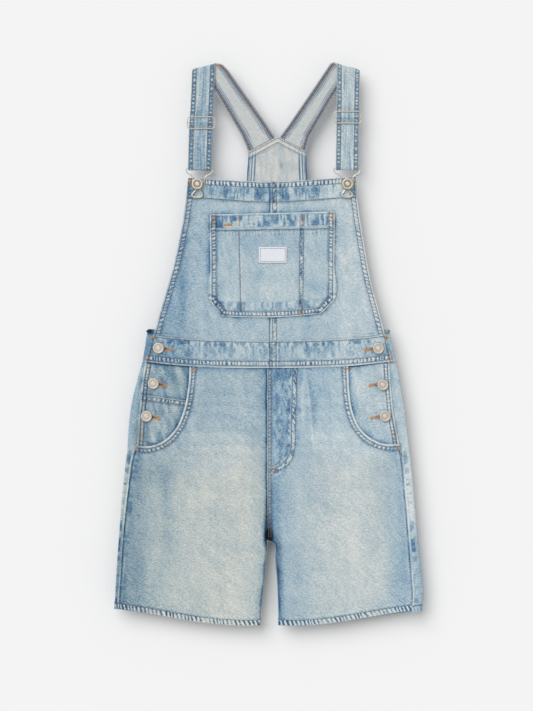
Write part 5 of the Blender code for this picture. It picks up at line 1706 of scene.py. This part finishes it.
# Bar tacks and buttonholes.
right_leg = leg_panels["right"]
left_leg = leg_panels["left"]
bar_tack(right_leg, (270.4, 468.8), (275.6, 468.2), width=2.0)
bar_tack(right_leg, (270.4, 471.8), (274.2, 471.6), width=1.6)
bar_tack(left_leg, (191.2, 369.0), (196.6, 369.2), width=2.4)
bar_tack(right_leg, (344.2, 368.8), (349.0, 368.6), width=2.4)
bar_tack(left_leg, (136.4, 446.0), (136.0, 450.5), width=2.2)
bar_tack(right_leg, (398.6, 445.6), (399.0, 450.4), width=2.2)
for side_name, p, q in (
    ("left", (163.6, 348.6), (171.4, 349.6)),
    ("right", (373.2, 349.0), (365.4, 350.2)),
):
    buttonhole(waist_panels[side_name], p, q)
for side_name, p, q in (
    ("left", (158.4, 384.0), (165.6, 385.6)),
    ("right", (377.8, 384.6), (370.2, 385.4)),
    ("right", (380.0, 416.8), (371.8, 418.0)),
):
    buttonhole(facing_panels[side_name], p, q)
buttonhole(coin_panel, (151.8, 416.8), (158.6, 418.4))
buttonhole(pocket_panel, (223.6, 224.9), (231.0, 224.7), width=3.6, foot=1.6)
POCKET_TACKS = [
    (211.4, 216.4, 217.6, 216.0), (328.0, 213.6, 333.6, 213.2), (239.0, 216.0, 239.3, 226.0),
    (300.0, 215.2, 300.0, 226.0), (303.8, 215.0, 303.8, 226.0), (332.0, 214.0, 332.2, 225.0),
    (213.4, 218.0, 213.4, 227.0), (298.9, 310.0, 298.9, 315.6), (302.6, 310.0, 302.6, 315.6),
]
for x0, y0, x1, y1 in POCKET_TACKS:
    bar_tack(pocket_panel, (x0, y0), (x1, y1), width=1.2)
for side_name, p, q in (
    ("left", (155.2, 337.2), (151.4, 337.6)),
    ("left", (149.4, 357.6), (146.6, 358.2)),
    ("right", (384.6, 336.6), (387.8, 336.8)),
    ("right", (388.2, 357.6), (391.0, 357.8)),
):
    bar_tack(waist_panels[side_name], p, q, width=3.4)
for side_name, p, q in (
    ("left", (190.4, 178.6), (190.2, 184.0)),
    ("right", (353.6, 177.6), (353.8, 183.0)),
):
    bar_tack(bib_panels[side_name], p, q)


def stitch_mesh(kind):
    """All stitches of one thread as one mesh."""
    rings = np.array(stitches[kind])
    count = len(rings)
    vertices = rings.reshape(-1, 3) * MM
    k = np.arange(RING)
    nxt = (k + 1) % RING
    quads = []
    for ring in range(3):
        a = ring * RING
        b = a + RING
        quads.append(np.stack([a + k, a + nxt, b + nxt, b + k], -1))
    one = np.concatenate(quads)
    faces = (np.arange(count)[:, None, None] * RING * 4 + one[None]).reshape(-1, 4)
    piece = raw_mesh("stitches_" + kind, vertices, faces, THREADS[kind])
    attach(piece, "root")
    return piece


for kind in stitches:
    if stitches[kind]:
        stitch_mesh(kind)

# Metal fittings keep their solids and take a finish.
for name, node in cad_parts.items():
    if name.startswith(("slider", "hook")):
        node.data.materials.clear()
        node.data.materials.append(nickel)
        node.data.shade_smooth()
    elif "button" in name:
        node.data.materials.clear()
        node.data.materials.append(button_metal)
        places = np.array([v.co[:] for v in node.data.vertices]) / MM
        middle = (places.min(0) + places.max(0)) / 2.0
        radius = np.hypot(places[:, 0] - middle[0], places[:, 1] - middle[1])
        deep = 0.75 if name.startswith("bib") else 0.3
        dark_rings = deep * ease(2.7, 3.2, radius) * (1.0 - ease(6.2, 6.6, radius)) + 0.4 * ease(8.0, 8.6, radius)
        layer = node.data.color_attributes.new("dark_rings", "FLOAT_COLOR", "POINT")
        full = np.ones((len(places), 4), np.float32)
        full[:, :3] = dark_rings[:, None]
        layer.data.foreach_set("color", full.ravel())

# Stage, light and camera.
FLOOR_SIZE = 6.0
FLOOR_DROP = 0.024
bpy.ops.mesh.primitive_plane_add(size=FLOOR_SIZE, location=(0.0, 0.0, -FLOOR_DROP))
floor = bpy.context.object
floor.name = "floor"
floor_material = plain_material("floor_white", linear(245, 245, 245), 1.0)
floor_material.node_tree.nodes["Principled BSDF"].inputs["Specular IOR Level"].default_value = 0.0
floor.data.materials.append(floor_material)

sun_data = bpy.data.lights.new("window", "SUN")
sun_data.energy = 1.9
sun_data.angle = math.radians(50.0)
sun = bpy.data.objects.new("window", sun_data)
bpy.context.collection.objects.link(sun)
sun.rotation_euler = Vector((0.50, -0.62, -1.0)).to_track_quat("-Z", "Y").to_euler()

world = bpy.data.worlds.new("studio")
world.use_nodes = True
background = world.node_tree.nodes["Background"]
background.inputs["Color"].default_value = (1.0, 1.0, 1.0, 1.0)
background.inputs["Strength"].default_value = 0.52
scene = bpy.context.scene
scene.world = world
scene.view_settings.view_transform = "Standard"

CAMERA_HEIGHT = 3.2
FRAME_HEIGHT = 711.0 * PIXEL * MM
camera_data = bpy.data.cameras.new("camera")
camera_data.sensor_width = 36.0
camera_data.lens = 36.0 * (CAMERA_HEIGHT - 0.004) / FRAME_HEIGHT
camera = bpy.data.objects.new("camera", camera_data)
middle_x, middle_y = on_cloth([(266.5, 355.5)])[0] * MM
camera.location = (middle_x, middle_y, CAMERA_HEIGHT)
bpy.context.collection.objects.link(camera)
scene.camera = camera
